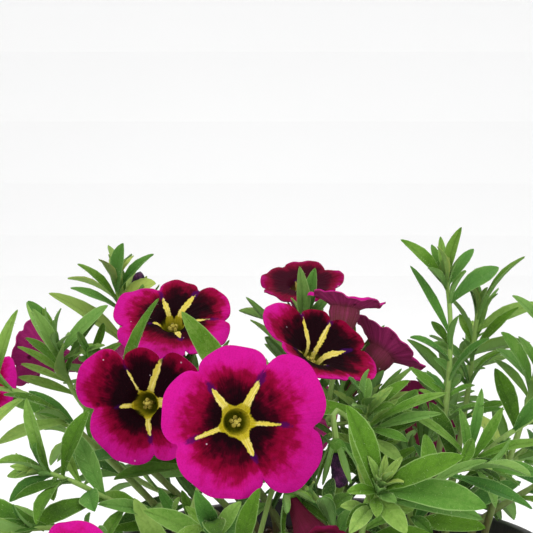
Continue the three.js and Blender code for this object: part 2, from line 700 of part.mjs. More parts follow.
// The anthers of an open flower, on a slim column that stands in its throat.
function anthers({ throat, facing }) {
  const { forward, right, up } = bloomWays(facing);
  const middle = vector(throat);
  const column = new THREE.LineCurve3(
    along(middle, forward, -COLUMN_DEPTH), along(middle, forward, -ANTHER_DEPTH));
  const heads = Array.from({ length: ANTHER_COUNT }, (_, head) => {
    const angle = (2 * Math.PI * head) / ANTHER_COUNT;
    const shape = new THREE.TetrahedronGeometry(ANTHER_RADIUS);
    shape.rotateZ(ANTHER_STEP * head);
    shape.translate(...along(middle, forward, ANTHER_STEP * head - ANTHER_DEPTH)
      .addScaledVector(right, ANTHER_RING * Math.cos(angle))
      .addScaledVector(up, ANTHER_RING * Math.sin(angle)));
    return solidOf(shape);
  });
  return [tube(column, COLUMN_RADIUS, 1), ...heads];
}

// The green calyx under a flower, a cup with five long points, and the stalk that carries it.
function calyx(bloom, stalkStart) {
  const { forward, right, up } = bloomWays(bloom.facing);
  const seat = along(tubeFoot(bloom), forward, -GAP);
  const ring = (inner, outer, low, high) => Array.from({ length: 10 }, (_, corner) => {
    const angle = (2 * Math.PI * corner) / 10;
    const radius = corner % 2 ? inner : outer;
    return along(seat, forward, corner % 2 ? low : high)
      .addScaledVector(right, radius * Math.cos(angle))
      .addScaledVector(up, radius * Math.sin(angle));
  });
  const inside = CALYX_RADIUS - CALYX_WALL;
  const cup = skin(along(seat, forward, -CALYX_HEIGHT), [
    ring(CALYX_RADIUS, SEPAL_SPREAD, CALYX_WALL, SEPAL_REACH),
    ring(inside, SEPAL_SPREAD - SEPAL_THICKNESS, CALYX_WALL, SEPAL_REACH),
    ring(inside, inside, 0, 0),
  ], seat);
  const stalk = new THREE.CatmullRomCurve3([
    stalkStart,
    along(seat, forward, -CALYX_HEIGHT - STALK_LEAD),
    along(seat, forward, -0.5 * CALYX_HEIGHT),
  ], false, 'centripetal');
  return [cup, tube(stalk, STALK_RADIUS, 3)];
}

// ---------------------------------------------------------------- pot and soil

const wallRadius = (height) => THREE.MathUtils.lerp(
  POT_FOOT_RADIUS, POT_RIM_RADIUS - RIM_STEP - 1, height / POT_HEIGHT);

function pot() {
  const bandFoot = POT_HEIGHT - RIM_BAND;
  const bandRadius = wallRadius(bandFoot) + RIM_STEP;
  const profile = [
    [0, 0],
    [POT_FOOT_RADIUS - 1, 0],
    [POT_FOOT_RADIUS, 1.5],
    [wallRadius(bandFoot), bandFoot - 1],
    [bandRadius, bandFoot],
    [POT_RIM_RADIUS - 1.1, POT_HEIGHT - 1.5],
    [POT_RIM_RADIUS, POT_HEIGHT - 1],
    [POT_RIM_RADIUS, POT_HEIGHT],
    [POT_RIM_RADIUS - 2.5, POT_HEIGHT],
    [bandRadius - POT_WALL, bandFoot + 1.2],
    [wallRadius(bandFoot) - POT_WALL, bandFoot + 0.2],
    [POT_FOOT_RADIUS - POT_WALL, POT_FLOOR],
    [0, POT_FLOOR],
  ];
  const points = profile.map(([radius, height]) => new THREE.Vector2(radius, height));
  const body = new THREE.LatheGeometry(points, ROUND_STEPS);
  body.rotateX(Math.PI / 2);
  const holes = [];
  for (let n = 0; n < DRAIN_HOLES; n += 1) {
    const hole = new THREE.CylinderGeometry(DRAIN_RADIUS, DRAIN_RADIUS, 4 * POT_FLOOR, 6);
    hole.rotateX(Math.PI / 2);
    const angle = (2 * Math.PI * n) / DRAIN_HOLES;
    hole.translate(DRAIN_RING * Math.cos(angle), DRAIN_RING * Math.sin(angle), 0);
    holes.push(solidOf(hole));
  }
  return solidOf(body).subtract(wasm.Manifold.union(holes));
}

function soil() {
  const bandFoot = POT_HEIGHT - RIM_BAND;
  const wall = (height) => wallRadius(height) - POT_WALL - SOIL_GAP;
  const shoulder = wallRadius(bandFoot) + RIM_STEP - POT_WALL - SOIL_GAP;
  const profile = [
    [0, POT_FLOOR + GAP],
    [POT_FOOT_RADIUS - POT_WALL - SOIL_GAP, POT_FLOOR + GAP],
    [wall(bandFoot), bandFoot + 0.7],
    [shoulder, bandFoot + 1.8],
    [shoulder, SOIL_TOP - 0.6],
    [0.75 * shoulder, SOIL_TOP + 0.2],
    [0, SOIL_TOP + SOIL_RISE],
  ];
  const points = profile.map(([radius, height]) => new THREE.Vector2(radius, height));
  const body = new THREE.LatheGeometry(points, ROUND_STEPS);
  body.rotateX(Math.PI / 2);
  const position = body.attributes.position;
  for (let n = 0; n < position.count; n += 1) {
    const height = position.getZ(n);
    const wave = Math.sin(0.31 * position.getX(n)) * Math.cos(0.27 * position.getY(n));
    if (height > SOIL_TOP - 1) position.setZ(n, height + SOIL_BUMP * wave);
  }
  const holes = Object.values(STEMS).map(({ foot }) => {
    const hole = new THREE.CylinderGeometry(HOLE_RADIUS, HOLE_RADIUS, 2 * HOLE_DEPTH, 5);
    hole.rotateX(Math.PI / 2);
    hole.translate(...foot, SOIL_TOP);
    return solidOf(hole);
  });
  return solidOf(body).subtract(wasm.Manifold.union(holes));
}

// ---------------------------------------------------------------- the whole plant

const black = new THREE.MeshStandardMaterial({ color: 0x1c1c1d, roughness: 0.5, metalness: 0 });
const earth = new THREE.MeshStandardMaterial({ color: 0x2b1d14, roughness: 0.95, metalness: 0 });
const green = new THREE.MeshStandardMaterial({ color: 0x55822f, roughness: 0.6, metalness: 0 });
const pale = new THREE.MeshStandardMaterial({ color: 0xe0d48a, roughness: 0.8, metalness: 0 });
const magenta = new THREE.MeshStandardMaterial({ color: 0xc3148a, roughness: 0.6, metalness: 0 });

const bodies = {};
const occupied = [];
function occupy(node, solid) {
  if (!bodies[node]) bodies[node] = [];
  bodies[node].push(solid);
  occupied.push({ node, solid, box: reach(solid) });
}

const meets = (solid, box, other) => box.intersectsBox(other.box)
  && !solid.intersect(other.solid).isEmpty();

// Grows a leaf on its stem at the first tip that keeps it clear of every other node, and if
// it can also clear of the leaves beside it. A leaf with no such place is left out.
function growLeaf(node, plan, beside) {
  const tips = SHORTER.flatMap((share) => DODGES.map((dodge) => plan.stem.clone()
    .lerp(plan.tip.clone().add(vector(dodge)), share)));
  const clear = tips.filter((tip) => {
    const guard = leaf({ ...plan, tip }, LEAF_CLEARANCE, LEAF_ROOT);
    const box = reach(guard);
    return !occupied.some((other) => other.node !== node && meets(guard, box, other));
  });
  const apart = clear.find((tip) => {
    const guard = leaf({ ...plan, tip }, 0, LEAF_HEEL);
    const box = reach(guard);
    return !beside.some((other) => meets(guard, box, other));
  });
  const tip = apart ?? clear[0];
  if (!tip) return;
  const solid = leaf({ ...plan, tip });
  beside.push({ solid: leaf({ ...plan, tip }, 0, LEAF_HEEL), box: reach(solid) });
  occupy(node, solid);
}

occupy('pot', pot());
occupy('soil', soil());
const curves = {};
for (const [name, plan] of Object.entries(STEMS)) {
  curves[name] = stemCurve(plan);
  occupy(name, tube(curves[name], STEM_RADIUS, STEM_STEPS));
}
Object.entries(BUDS).forEach(([name, plan], number) => {
  if (plan.length) occupy(name, bud(plan, number));
});
for (const [name, bloom] of Object.entries({ ...BLOOMS, ...BUDS })) {
  if (bloom.seams) occupy(name, corolla(bloom));
  if (bloom.petalSteps === 4) {
    anthers(bloom).forEach((solid) => occupy(name.replace('bloom', 'anthers'), solid));
  }
  const { stem: start } = stationOn(curves[bloom.stem], bloom.from);
  calyx(bloom, start).forEach((solid) => occupy(bloom.stem, solid));
}
Object.entries(STEMS).forEach(([name, plan], number) => {
  const beside = [];
  const planned = plannedLeaves(curves[name], plan);
  const byRule = ruleLeaves(curves[name], plan, number);
  [...planned, ...byRule].forEach((row) => growLeaf(name, row, beside));
});

const plant = new THREE.Group();
const materialOf = (name) => {
  if (name === 'pot') return black;
  if (name === 'soil') return earth;
  if (name.startsWith('anthers')) return pale;
  return name.startsWith('stem') ? green : magenta;
};
for (const [name, solids] of Object.entries(bodies)) {
  plant.add(meshOf(name, fuse(solids), materialOf(name)));
}

export default plant;
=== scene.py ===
"""The looks of a calibrachoa in bloom in a round nursery pot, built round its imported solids."""

import logging
import math
from dataclasses import dataclass, field
from enum import Enum
from typing import Callable, Sequence

import bmesh
import bpy
import numpy as np
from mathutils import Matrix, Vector, kdtree, noise


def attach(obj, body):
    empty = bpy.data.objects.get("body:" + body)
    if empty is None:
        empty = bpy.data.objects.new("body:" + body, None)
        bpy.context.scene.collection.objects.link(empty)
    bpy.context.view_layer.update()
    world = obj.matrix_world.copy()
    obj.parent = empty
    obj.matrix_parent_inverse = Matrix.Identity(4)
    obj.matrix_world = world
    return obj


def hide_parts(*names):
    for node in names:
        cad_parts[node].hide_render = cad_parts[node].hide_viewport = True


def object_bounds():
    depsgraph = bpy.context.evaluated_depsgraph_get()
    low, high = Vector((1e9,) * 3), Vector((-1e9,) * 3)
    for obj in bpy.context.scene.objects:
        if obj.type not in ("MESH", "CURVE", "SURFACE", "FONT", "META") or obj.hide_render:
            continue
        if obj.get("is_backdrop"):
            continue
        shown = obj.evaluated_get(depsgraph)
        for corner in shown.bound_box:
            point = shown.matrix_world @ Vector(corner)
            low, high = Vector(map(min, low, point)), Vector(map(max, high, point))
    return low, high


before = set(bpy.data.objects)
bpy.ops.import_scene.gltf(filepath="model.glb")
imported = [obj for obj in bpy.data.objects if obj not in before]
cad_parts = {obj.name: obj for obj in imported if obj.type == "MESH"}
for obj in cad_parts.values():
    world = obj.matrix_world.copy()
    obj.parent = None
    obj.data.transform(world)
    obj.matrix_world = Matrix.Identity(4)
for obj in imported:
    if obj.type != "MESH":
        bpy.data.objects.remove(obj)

Array = np.ndarray
Triple = tuple[float, float, float]
Pairs = tuple[tuple[float, float], ...]
Colour = tuple[float, float, float, float]
Thing = bpy.types.Object
Material = bpy.types.Material

MM = 0.001  # the plan is in millimetres and the scene in metres
BODY = "root"
SHARP_EDGE = math.radians(50)
GOLDEN_ANGLE = math.radians(137.5)

# ---- sizes shared with the solids

POT_HEIGHT = 90.0
POT_RIM_RADIUS = 52.5
POT_FOOT_RADIUS = 37.0
POT_WALL = 1.4
POT_FLOOR = 1.8
RIM_BAND = 10.0
RIM_STEP = 2.0
DRAIN_HOLES = 5
DRAIN_RADIUS = 3.5
DRAIN_RING = 27.0

GAP = 0.3
SOIL_TOP = 84.0
SOIL_RISE = 1.0
HOLE_DEPTH = 8.0

STEM_STEPS = 6
BLADE_ARCH = 0.07
TUBE_LENGTH = 14.0
TUBE_FOOT_RADIUS = 1.25
THROAT_RADIUS = 3.0
PETAL_NOTCH = 0.76
PETAL_WAVE = 0.9
ANTHER_DEPTH = 1.8
COLUMN_DEPTH = 6.3
CALYX_HEIGHT = 2.4
SEPAL_REACH = 7.6
SEPAL_SPREAD = 5.2
STALK_LEAD = 6.0

FILL_AT = (0.36, 0.92)
FILL_OPENING = (0.95, 1.35)
FILL_LENGTH = (15.0, 21.0)
TUFT_AT = 0.97
TUFT_OPENING = (0.3, 0.8)
TUFT_LENGTH = (7.0, 11.0)
NARROW_LEAF = 3.0
DODGES: list[Triple] = [
    (0, 0, 0), (0, -4, 0), (0, 4, 0), (0, -8, 0), (0, 8, 0), (0, 0, 4), (0, 0, -4),
    (4, -5, 0), (-4, -5, 0), (4, 5, 0), (-4, 5, 0), (0, -13, 0), (0, 13, 0),
]
SHORTER = (1.0, 0.8, 0.6)
LIGHT_LEAN = 0.9
LIGHT_RISE = 0.6
LIGHT_SHARE = 0.62
LIGHT_FRONT_TO = 22.0
TIP_SLACK = 0.25  # how near a solid's corner must be to a planned tip

# ---- the plan of the plant


@dataclass(frozen=True)
class StemPlan:
    """Where a leafy stem stands and goes, and its leaves: place, tip and width of each.

    `bright` lightens its leaves or, below 0, darkens them, and `full` broadens them. `more`
    is how many small leaves it gets beyond the usual number.
    """

    foot: tuple[float, float]
    way: list[Triple]
    fill: int
    tuft: int
    leaves: list[tuple[float, ...]] = field(default_factory=list)
    bright: float = 0.0
    full: float = 1.0
    more: int = 0


STEMS: dict[str, StemPlan] = {
    "stem_top_left": StemPlan(
        (-17, 13), [(-47, 21, 129), (-49, 21, 138), (-51, 20, 147), (-51, 20, 153)],
        fill=2, tuft=1, bright=0.4, full=1.3, leaves=[
        (0.94, -49, 13, 161, 3.8), (0.95, -54, 29, 159, 2.2), (0.96, -54, 12, 158, 1.8),
        (0.92, -60, 13, 156, 2), (0.93, -64, 27, 151, 2), (0.9, -62, 15, 150, 1.8),
        (0.98, -48, 27, 157, 1.8), (0.95, -42, 17, 158, 2), (0.89, -43, 30, 153, 2.2),
        (0.79, -68, 21, 148, 2.8)]),
    "stem_left": StemPlan(
        (-27, 3), [(-58, -4, 126), (-61, -8, 134), (-62, -10, 140), (-64, -10, 144)],
        fill=2, tuft=1, leaves=[
        (0.87, -67, -16, 149, 3.2), (0.86, -71, 1, 140, 1.8), (0.84, -71, -13, 140, 1.8),
        (0.82, -72, 0, 134, 1.6), (0.91, -61, -16, 145, 1.6), (0.82, -60, -17, 141, 5),
        (0.87, -57, -2, 138, 1.6), (0.85, -53, -12, 146, 2), (0.87, -71, 4, 148, 2.4)]),
    "stem_far_left": StemPlan(
        (-33, -6), [(-55, -18, 120), (-64, -22, 129), (-71, -24, 132), (-77, -26, 133)],
        fill=4, tuft=2, leaves=[
        (0.73, -71, -35, 133, 2.8), (0.73, -64, -31, 129, 2.2), (0.7, -67, -29, 132, 2.2),
        (0.73, -75, -13, 129, 2.8), (0.68, -68, -8, 126, 2.8), (0.96, -69, -25, 150, 2.4)]),
    "stem_low_left": StemPlan(
        (-20, -20), [(-35, -35, 105), (-47, -41, 111), (-55, -44, 116), (-62, -46, 119)],
        fill=3, tuft=1, leaves=[
        (0.98, -69, -57, 123, 4), (0.97, -68, -41, 120, 1.8), (0.98, -70, -38, 116, 2),
        (0.98, -62, -52, 126, 2), (0.9, -66, -55, 115, 3.2), (0.96, -68, -53, 113, 3.4),
        (0.95, -59, -52, 113, 2.2), (0.84, -50, -53, 112, 4.5), (0.79, -55, -38, 125, 4.5),
        (0.87, -58, -39, 123, 1.8), (0.58, -50, -47, 112, 2.8), (0.52, -38, -36, 113, 2),
        (0.51, -49, -42, 105, 2.2), (0.53, -33, -45, 113, 3), (0.97, -64, -50, 135, 3.6),
        (0.93, -52, -42, 131, 4.2), (0.78, -63, -57, 109, 4.8)]),
    "stem_bottom_left": StemPlan(
        (-27, -28), [(-46, -45, 99), (-52, -50, 106), (-58, -55, 109), (-64, -60, 110)],
        fill=4, tuft=2, leaves=[
        (0.75, -62, -66, 107, 3.8), (0.86, -71, -43, 110, 4.2), (0.93, -73, -67, 112, 3.2),
        (0.88, -58, -66, 102, 3.4)]),
    "stem_bottom": StemPlan(
        (-9, -36), [(-22, -47, 100), (-26, -54, 109), (-27, -56, 114)],
        fill=5, tuft=0, bright=-0.2, leaves=[
        (0.8, -29, -64, 119, 4), (0.84, -34, -42, 107, 3.2), (0.82, -20, -61, 115, 3.4),
        (0.84, -33, -65, 108, 2.8), (0.78, -36, -60, 104, 3.6)]),
    "stem_centre_low": StemPlan(
        (4, -34), [(2, -43, 99), (-3, -48, 111), (-6, -51, 116)],
        fill=2, tuft=0, bright=-0.15, leaves=[
        (0.83, -11, -57, 108, 2.4), (0.77, -14, -50, 116, 3.4), (0.74, -8, -57, 117, 2.8),
        (0.83, -1, -40, 116, 2.2), (0.83, 3, -38, 112, 2.8), (0.92, -9, -51, 115, 1.8),
        (0.69, 3, -50, 112, 3.2)]),
    "stem_rosette": StemPlan(
        (13, -28), [(5, -46, 105), (7, -54, 114), (8, -57, 118)],
        fill=3, tuft=1, bright=0.12, leaves=[
        (0.96, 1, -58, 135, 5), (0.98, 24, -65, 126, 5.4), (0.97, 29, -62, 115, 6.3),
        (0.93, 29, -56, 111, 4.5), (0.98, 18, -50, 115, 2.4), (0.97, 1, -62, 118, 2.2),
        (0.94, 7, -62, 113, 2.2), (0.96, 11, -62, 116, 2), (0.9, 1, -62, 111, 3.8),
        (0.94, 13, -63, 110, 4.2)]),
    "stem_right_tall": StemPlan(
        (21, 3), [(25, -2, 113), (27, 0, 125), (28, 2, 137), (28, 4, 146), (27, 4, 154)],
        fill=2, tuft=1, leaves=[
        (0.96, 16, 0, 163, 2.8), (0.82, 19, 9, 156, 2.2), (0.98, 30, -1, 166, 3),
        (0.97, 34, 9, 160, 2.4), (0.98, 24, 9, 161, 1.8), (0.98, 24, -2, 162, 1.8),
        (0.98, 26, 8, 163, 1.6), (0.96, 22, 7, 158, 1.8), (0.92, 31, -2, 156, 4),
        (0.69, 36, -7, 141, 2.4), (0.75, 18, -5, 141, 2.4), (0.79, 24, 7, 143, 1.8),
        (0.66, 21, 6, 131, 2), (0.78, 29, -5, 146, 2.2)]),
    "stem_right_second": StemPlan(
        (28, 10), [(32, 12, 116), (34, 14, 128), (35, 15, 137), (36, 15, 145)],
        fill=4, tuft=1, bright=-0.1, leaves=[
        (0.96, 45, 1, 159, 2.4), (0.84, 42, 24, 149, 2.2), (0.86, 39, 20, 149, 2),
        (0.84, 45, 10, 146, 3.2), (0.87, 32, 20, 143, 2), (0.81, 47, 22, 133, 2.2),
        (0.74, 40, 5, 136, 2.2)]),
    "stem_right_low": StemPlan(
        (26, -9), [(28, -14, 112), (33, -15, 115), (38, -14, 119), (45, -12, 123), (52, -10, 126)],
        fill=4, tuft=2, bright=-0.35, leaves=[
        (0.62, 14, -18, 127, 2), (0.63, 47, -22, 120, 2), (0.55, 36, -20, 115, 2.2),
        (0.65, 48, -21, 109, 2.4), (0.58, 26, -10, 117, 1.8), (0.6, 34, -10, 130, 2),
        (0.62, 38, -17, 127, 2), (0.6, 28, -18, 127, 2), (0.93, 57, -2, 130, 2.2),
        (0.96, 57, -21, 127, 2.2)]),
    "stem_far_right": StemPlan(
        (36, 1), [(44, 0, 118), (47, 2, 127), (49, 3, 137), (50, 3, 144)], fill=5, tuft=1, leaves=[
        (0.96, 42, 0, 150, 2.4), (0.75, 39, -4, 142, 6), (0.6, 39, 6, 132, 4.5),
        (0.83, 45, 10, 139, 2), (0.95, 55, 13, 150, 2.4), (0.89, 55, -7, 143, 2.4),
        (0.79, 54, -8, 136, 2.4)]),
    "stem_centre_right": StemPlan(
        (13, -13), [(9, -16, 113), (8, -18, 122), (6, -18, 130)], fill=4, tuft=1, more=6, leaves=[
        (0.89, 13, -27, 129, 2.8), (0.94, 9, -27, 131, 2.8), (0.85, 16, -27, 121, 2.4),
        (0.93, 8, -10, 133, 2.4), (0.9, 17, -17, 133, 3.2), (0.86, 25, -18, 131, 2.2),
        (0.84, 24, -20, 126, 2.2), (0.78, 19, -17, 124, 2.2), (0.81, 15, -24, 116, 2.4),
        (0.95, 3, -25, 135, 2.2)]),
    "stem_lower_right": StemPlan(
        (22, -21), [(16, -35, 109), (21, -36, 114), (27, -36, 117), (33, -36, 117)],
        fill=4, tuft=2, bright=-0.2, leaves=[
        (0.74, 31, -46, 121, 3.2), (0.94, 34, -43, 116, 2), (0.84, 41, -43, 110, 3.8),
        (0.94, 45, -28, 114, 2.8), (0.88, 30, -28, 122, 2.4)]),
    "stem_centre_back": StemPlan(
        (-4, 17), [(-7, 22, 124), (-6, 23, 134), (-6, 24, 141)], fill=3, tuft=1, leaves=[
        (0.96, -7, 17, 155, 2.8), (0.97, -3, 19, 154, 2.8), (0.82, -20, 22, 147, 2.2),
        (0.82, -19, 25, 141, 2), (0.8, -10, 14, 137, 2.8), (0.96, 1, 18, 147, 3)]),
    "stem_mid_left": StemPlan(
        (-15, -10), [(-29, -11, 108), (-40, -8, 118), (-50, -6, 126)],
        fill=5, tuft=1, bright=-0.1, leaves=[
        (0.97, -39, -13, 151, 4.4), (0.8, -46, 4, 128, 2.8), (0.85, -30, -4, 134, 3.2),
        (0.7, -58, -28, 116, 4.8)]),
    "stem_upper_left": StemPlan(
        (-10, 5), [(-26, 16, 112), (-33, 19, 121), (-36, 21, 128)], fill=2, tuft=2, leaves=[
        (0.86, -40, 6, 148, 2.8), (0.88, -29, 4, 143, 4.6), (0.8, -24, 25, 136, 3.2),
        (0.76, -43, 28, 132, 3)]),
    "stem_upper_mid": StemPlan(
        (0, 0), [(-8, -2, 108), (-15, -6, 117), (-20, -8, 124)], fill=2, tuft=1, leaves=[
        (0.97, -34, -13, 148, 5.4), (0.8, -15, 2, 135, 3)]),
    "stem_back_right": StemPlan(
        (12, 8), [(10, 13, 108), (9, 15, 116), (10, 18, 122)], fill=3, tuft=2, leaves=[
        (0.85, 20, 8, 132, 3.4), (0.8, 18, 26, 130, 3), (0.75, 14, 2, 124, 3)]),
    "stem_top_right": StemPlan(
        (5, 21), [(4, 24, 110), (4, 25, 122), (5, 26, 130)], fill=3, tuft=2, leaves=[
        (0.92, 10, 18, 143, 2.6), (0.85, 9, 34, 140, 2.8), (0.8, 15, 24, 138, 2.6)]),
    "stem_back_left": StemPlan(
        (-13, 28), [(-28, 42, 108), (-36, 46, 122), (-42, 48, 133)], fill=7, tuft=2),
    "stem_back_middle": StemPlan(
        (-2, 34), [(-5, 50, 108), (-7, 56, 121), (-8, 58, 132)], fill=7, tuft=2),
    "stem_back_far_right": StemPlan(
        (14, 29), [(26, 42, 106), (33, 49, 121), (38, 52, 132)], fill=6, tuft=2, more=14),
    "stem_back_low_left": StemPlan(
        (-25, 21), [(-46, 30, 99), (-58, 33, 107), (-67, 35, 112)], fill=7, tuft=2),
    "stem_back_low_right": StemPlan(
        (25, 22), [(44, 33, 100), (53, 38, 108), (60, 41, 115)], fill=7, tuft=2),
    "stem_right_back": StemPlan(
        (35, 13), [(54, 16, 104), (63, 17, 113), (69, 17, 123)], fill=7, tuft=2),
}


class Age(Enum):
    """How old a flower is, which sets its colour."""

    FRESH = 0.0
    OLD = 1.0


@dataclass(frozen=True)
class BloomPlan:
    """A flower's place and form, petal by petal, clockwise from its first seam.

    `arms` are the length, as a share of the radius, and the half width of the yellow stripe on
    each seam. `dark` is how far out each petal stays dark, as a share of its length, and
    `ring` the size of the olive ring round the throat, as a share of the usual one.
    `dusk` is how much of the flower's colour has sunk to a dull maroon: the faded colour of an old
    flower, and on the flower behind at the right painted shade as well.
    """

    stem: str
    start: float
    throat: Triple
    facing: Triple
    radius: float
    cup: float
    seams: tuple[float, ...] = (126, 54, -18, -90, -162)
    lobes: tuple[float, ...] = (1, 1, 1, 1, 1)
    arms: Pairs = ((0.56, 0.7),) * 5
    dark: tuple[float, ...] = (0.6, 0.6, 0.6, 0.6, 0.6)
    ring: float = 1.0
    dusk: float = 0.0
    columns: int = 90
    age: Age = Age.FRESH


BLOOMS: dict[str, BloomPlan] = {
    "bloom_front": BloomPlan(
        "stem_low_left", 0.5, (-21, -45, 129), (0.19, -0.96, 0.17), 17.4, 1.5,
        seams=(127, 60, -6, -67, -161), lobes=(0.91, 1.11, 1.1, 0.93, 0.94),
        arms=((0.5, 0.98), (0.57, 0.95), (0.54, 0.55), (0.46, 1.0), (0.57, 0.62)),
        dark=(0.58, 0.52, 0.54, 0.6, 0.53), columns=160),
    "bloom_left": BloomPlan(
        "stem_mid_left", 0.9, (-41.6, -25, 129), (-0.3, -0.93, 0.1), 15.5, 1.5,
        seams=(118, 68, 10, -75, -172), lobes=(0.8, 0.95, 0.9, 0.88, 1.06),
        arms=((0.6, 0.35), (0.74, 0.85), (0.5, 1.2), (0.46, 0.75), (0.38, 0.6)),
        dark=(1.05, 0.98, 0.6, 0.6, 0.7), ring=0.8, columns=140),
    "bloom_upper_left": BloomPlan(
        "stem_upper_left", 0.9, (-37, 6, 143), (0, -0.56, 0.83), 14.5, 1,
        seams=(109, 60, 1, -72, -170), lobes=(0.95, 1, 1, 1, 1),
        arms=((0.58, 0.7), (0.72, 0.85), (0.62, 0.5), (0.45, 0.7), (0.35, 0.5)),
        dark=(0.92, 0.84, 0.56, 0.52, 0.6), ring=0.75, columns=140),
    "bloom_upper_right": BloomPlan(
        "stem_upper_mid", 0.9, (-4, -6, 137), (0.43, -0.42, 0.8), 14.2, 3.5,
        seams=(75, 35, -15, -85, 165), lobes=(0.9, 1, 1.02, 0.88, 1.06),
        arms=((0.73, 0.5), (0.8, 0.65), (0.56, 0.95), (0.3, 0.4), (0.4, 0.35)),
        dark=(1.08, 1.04, 0.8, 0.74, 0.68), ring=0.55, columns=140),
    "bloom_right_back": BloomPlan(
        "stem_back_right", 0.9, (13.7, 24, 133), (0.62, 0.3, 0.72), 10.5, 3),
    "bloom_top_back": BloomPlan(
        "stem_centre_back", 0.85, (-6, 39, 148), (-0.05, -0.37, 0.93), 10.8, 1,
        arms=((0.3, 0.4),) * 5, dark=(0.84,) * 5, ring=0.6, dusk=0.35),
    "bloom_trumpet": BloomPlan(
        "stem_top_right", 0.85, (4, 15, 145.5), (0.17, 0.22, 0.96), 9.5, 2),
    "bloom_far_left": BloomPlan(
        "stem_far_left", 0.75, (-82.4, -12, 132), (-0.35, -0.9, 0.25), 13, 1,
        seams=(108, 36, -36, -108, 180)),
    "bloom_old_left": BloomPlan(
        "stem_left", 0.75, (-67.5, 6, 135), (-0.9, 0.35, 0.15), 8.5, 4, age=Age.OLD),
    "bloom_low_left": BloomPlan(
        "stem_bottom_left", 0.7, (-52, -66, 102), (-0.15, -0.95, -0.1), 12, 1),
    "bloom_low_centre": BloomPlan(
        "stem_bottom", 0.55, (-5, -58, 106.5), (0.3, -0.8, -0.4), 7, 3, dark=(0.9,) * 5, dusk=0.85),
    "bloom_behind_left": BloomPlan(
        "stem_back_left", 0.7, (-50, 62, 117), (-0.3, 0.9, 0.2), 15, 1),
    "bloom_behind_middle": BloomPlan(
        "stem_back_middle", 0.6, (-10, 72, 108), (0, 0.97, 0.15), 15, 1),
    "bloom_behind_right": BloomPlan(
        # its dull maroon stands for an older flower and for painted shade between the leaves at the
        # back
        "stem_back_far_right", 0.55, (24, 66, 105), (0.35, 0.9, 0.15), 14, 1, dusk=0.75),
    "bloom_low_behind": BloomPlan(
        "stem_back_low_right", 0.8, (66, 52, 104), (0.85, 0.5, 0.1), 14, 1),
    "bloom_right_side": BloomPlan(
        "stem_right_back", 0.8, (78, 6, 121), (0.85, -0.45, 0.3), 14, 1),
}
FRONT_BLOOMS = ("bloom_front", "bloom_left", "bloom_upper_left", "bloom_upper_right")


@dataclass(frozen=True)
class BudPlan:
    """A closed or withered flower. With no length only its calyx is left."""

    stem: str
    start: float
    throat: Triple
    facing: Triple
    length: float = 0.0
    radius: float = 0.0
    ragged: float = 0.0


BUDS: dict[str, BudPlan] = {
    "bud_top_left": BudPlan(
        "stem_top_left", 0.88, (-44, 21, 158), (0.3, -0.1, 0.95), length=9, radius=1.5),
    "bud_withered_front": BudPlan(
        "stem_centre_right", 0.8, (1, -33, 106), (0.05, -0.25, -0.97),
        length=8, radius=1.9, ragged=0.7),
    "calyx_spent_left": BudPlan(
        "stem_left", 0.8, (-51, -25, 144), (0.2, -0.9, 0.4)),
}

# ---- small tools


def arr(values: Sequence[float]) -> Array:
    """A list of numbers as an array."""
    return np.array(values, dtype=float)


def unit(way: Sequence[float]) -> Array:
    """A direction of length one."""
    return arr(way) / np.linalg.norm(way)


def draw(seed: float) -> float:
    """A number from 0 to 1 that looks random and is the same on every run."""
    value = math.sin(seed * 12.9898) * 43758.5453
    return value - math.floor(value)


def between(limits: tuple[float, float], share: float) -> float:
    """The number that lies at a share of the way between two."""
    return limits[0] + (limits[1] - limits[0]) * share


def turned(way: Array, axis: Array, angle: float) -> Array:
    """A direction turned about an axis of length one, by an angle in radians."""
    along = axis * np.dot(axis, way) * (1 - math.cos(angle))
    return way * math.cos(angle) + np.cross(axis, way) * math.sin(angle) + along


def spokes(count: int) -> Array:
    """The angles of points spread evenly round a circle."""
    return 2 * np.pi * np.arange(count) / count


def hoop(middle: Array, size: object, right: Array, up: Array, angles: Array) -> Array:
    """Points round a middle.

    Args:
        middle: the middle, one for all points or one for each.
        size: the radius, one number or one for each point.
        right: the way at angle 0.
        up: the way at a right angle to it.
        angles: the points' angles.

    Returns:
        The points.
    """
    across = (size * np.cos(angles))[:, None] * right
    return middle + across + (size * np.sin(angles))[:, None] * up


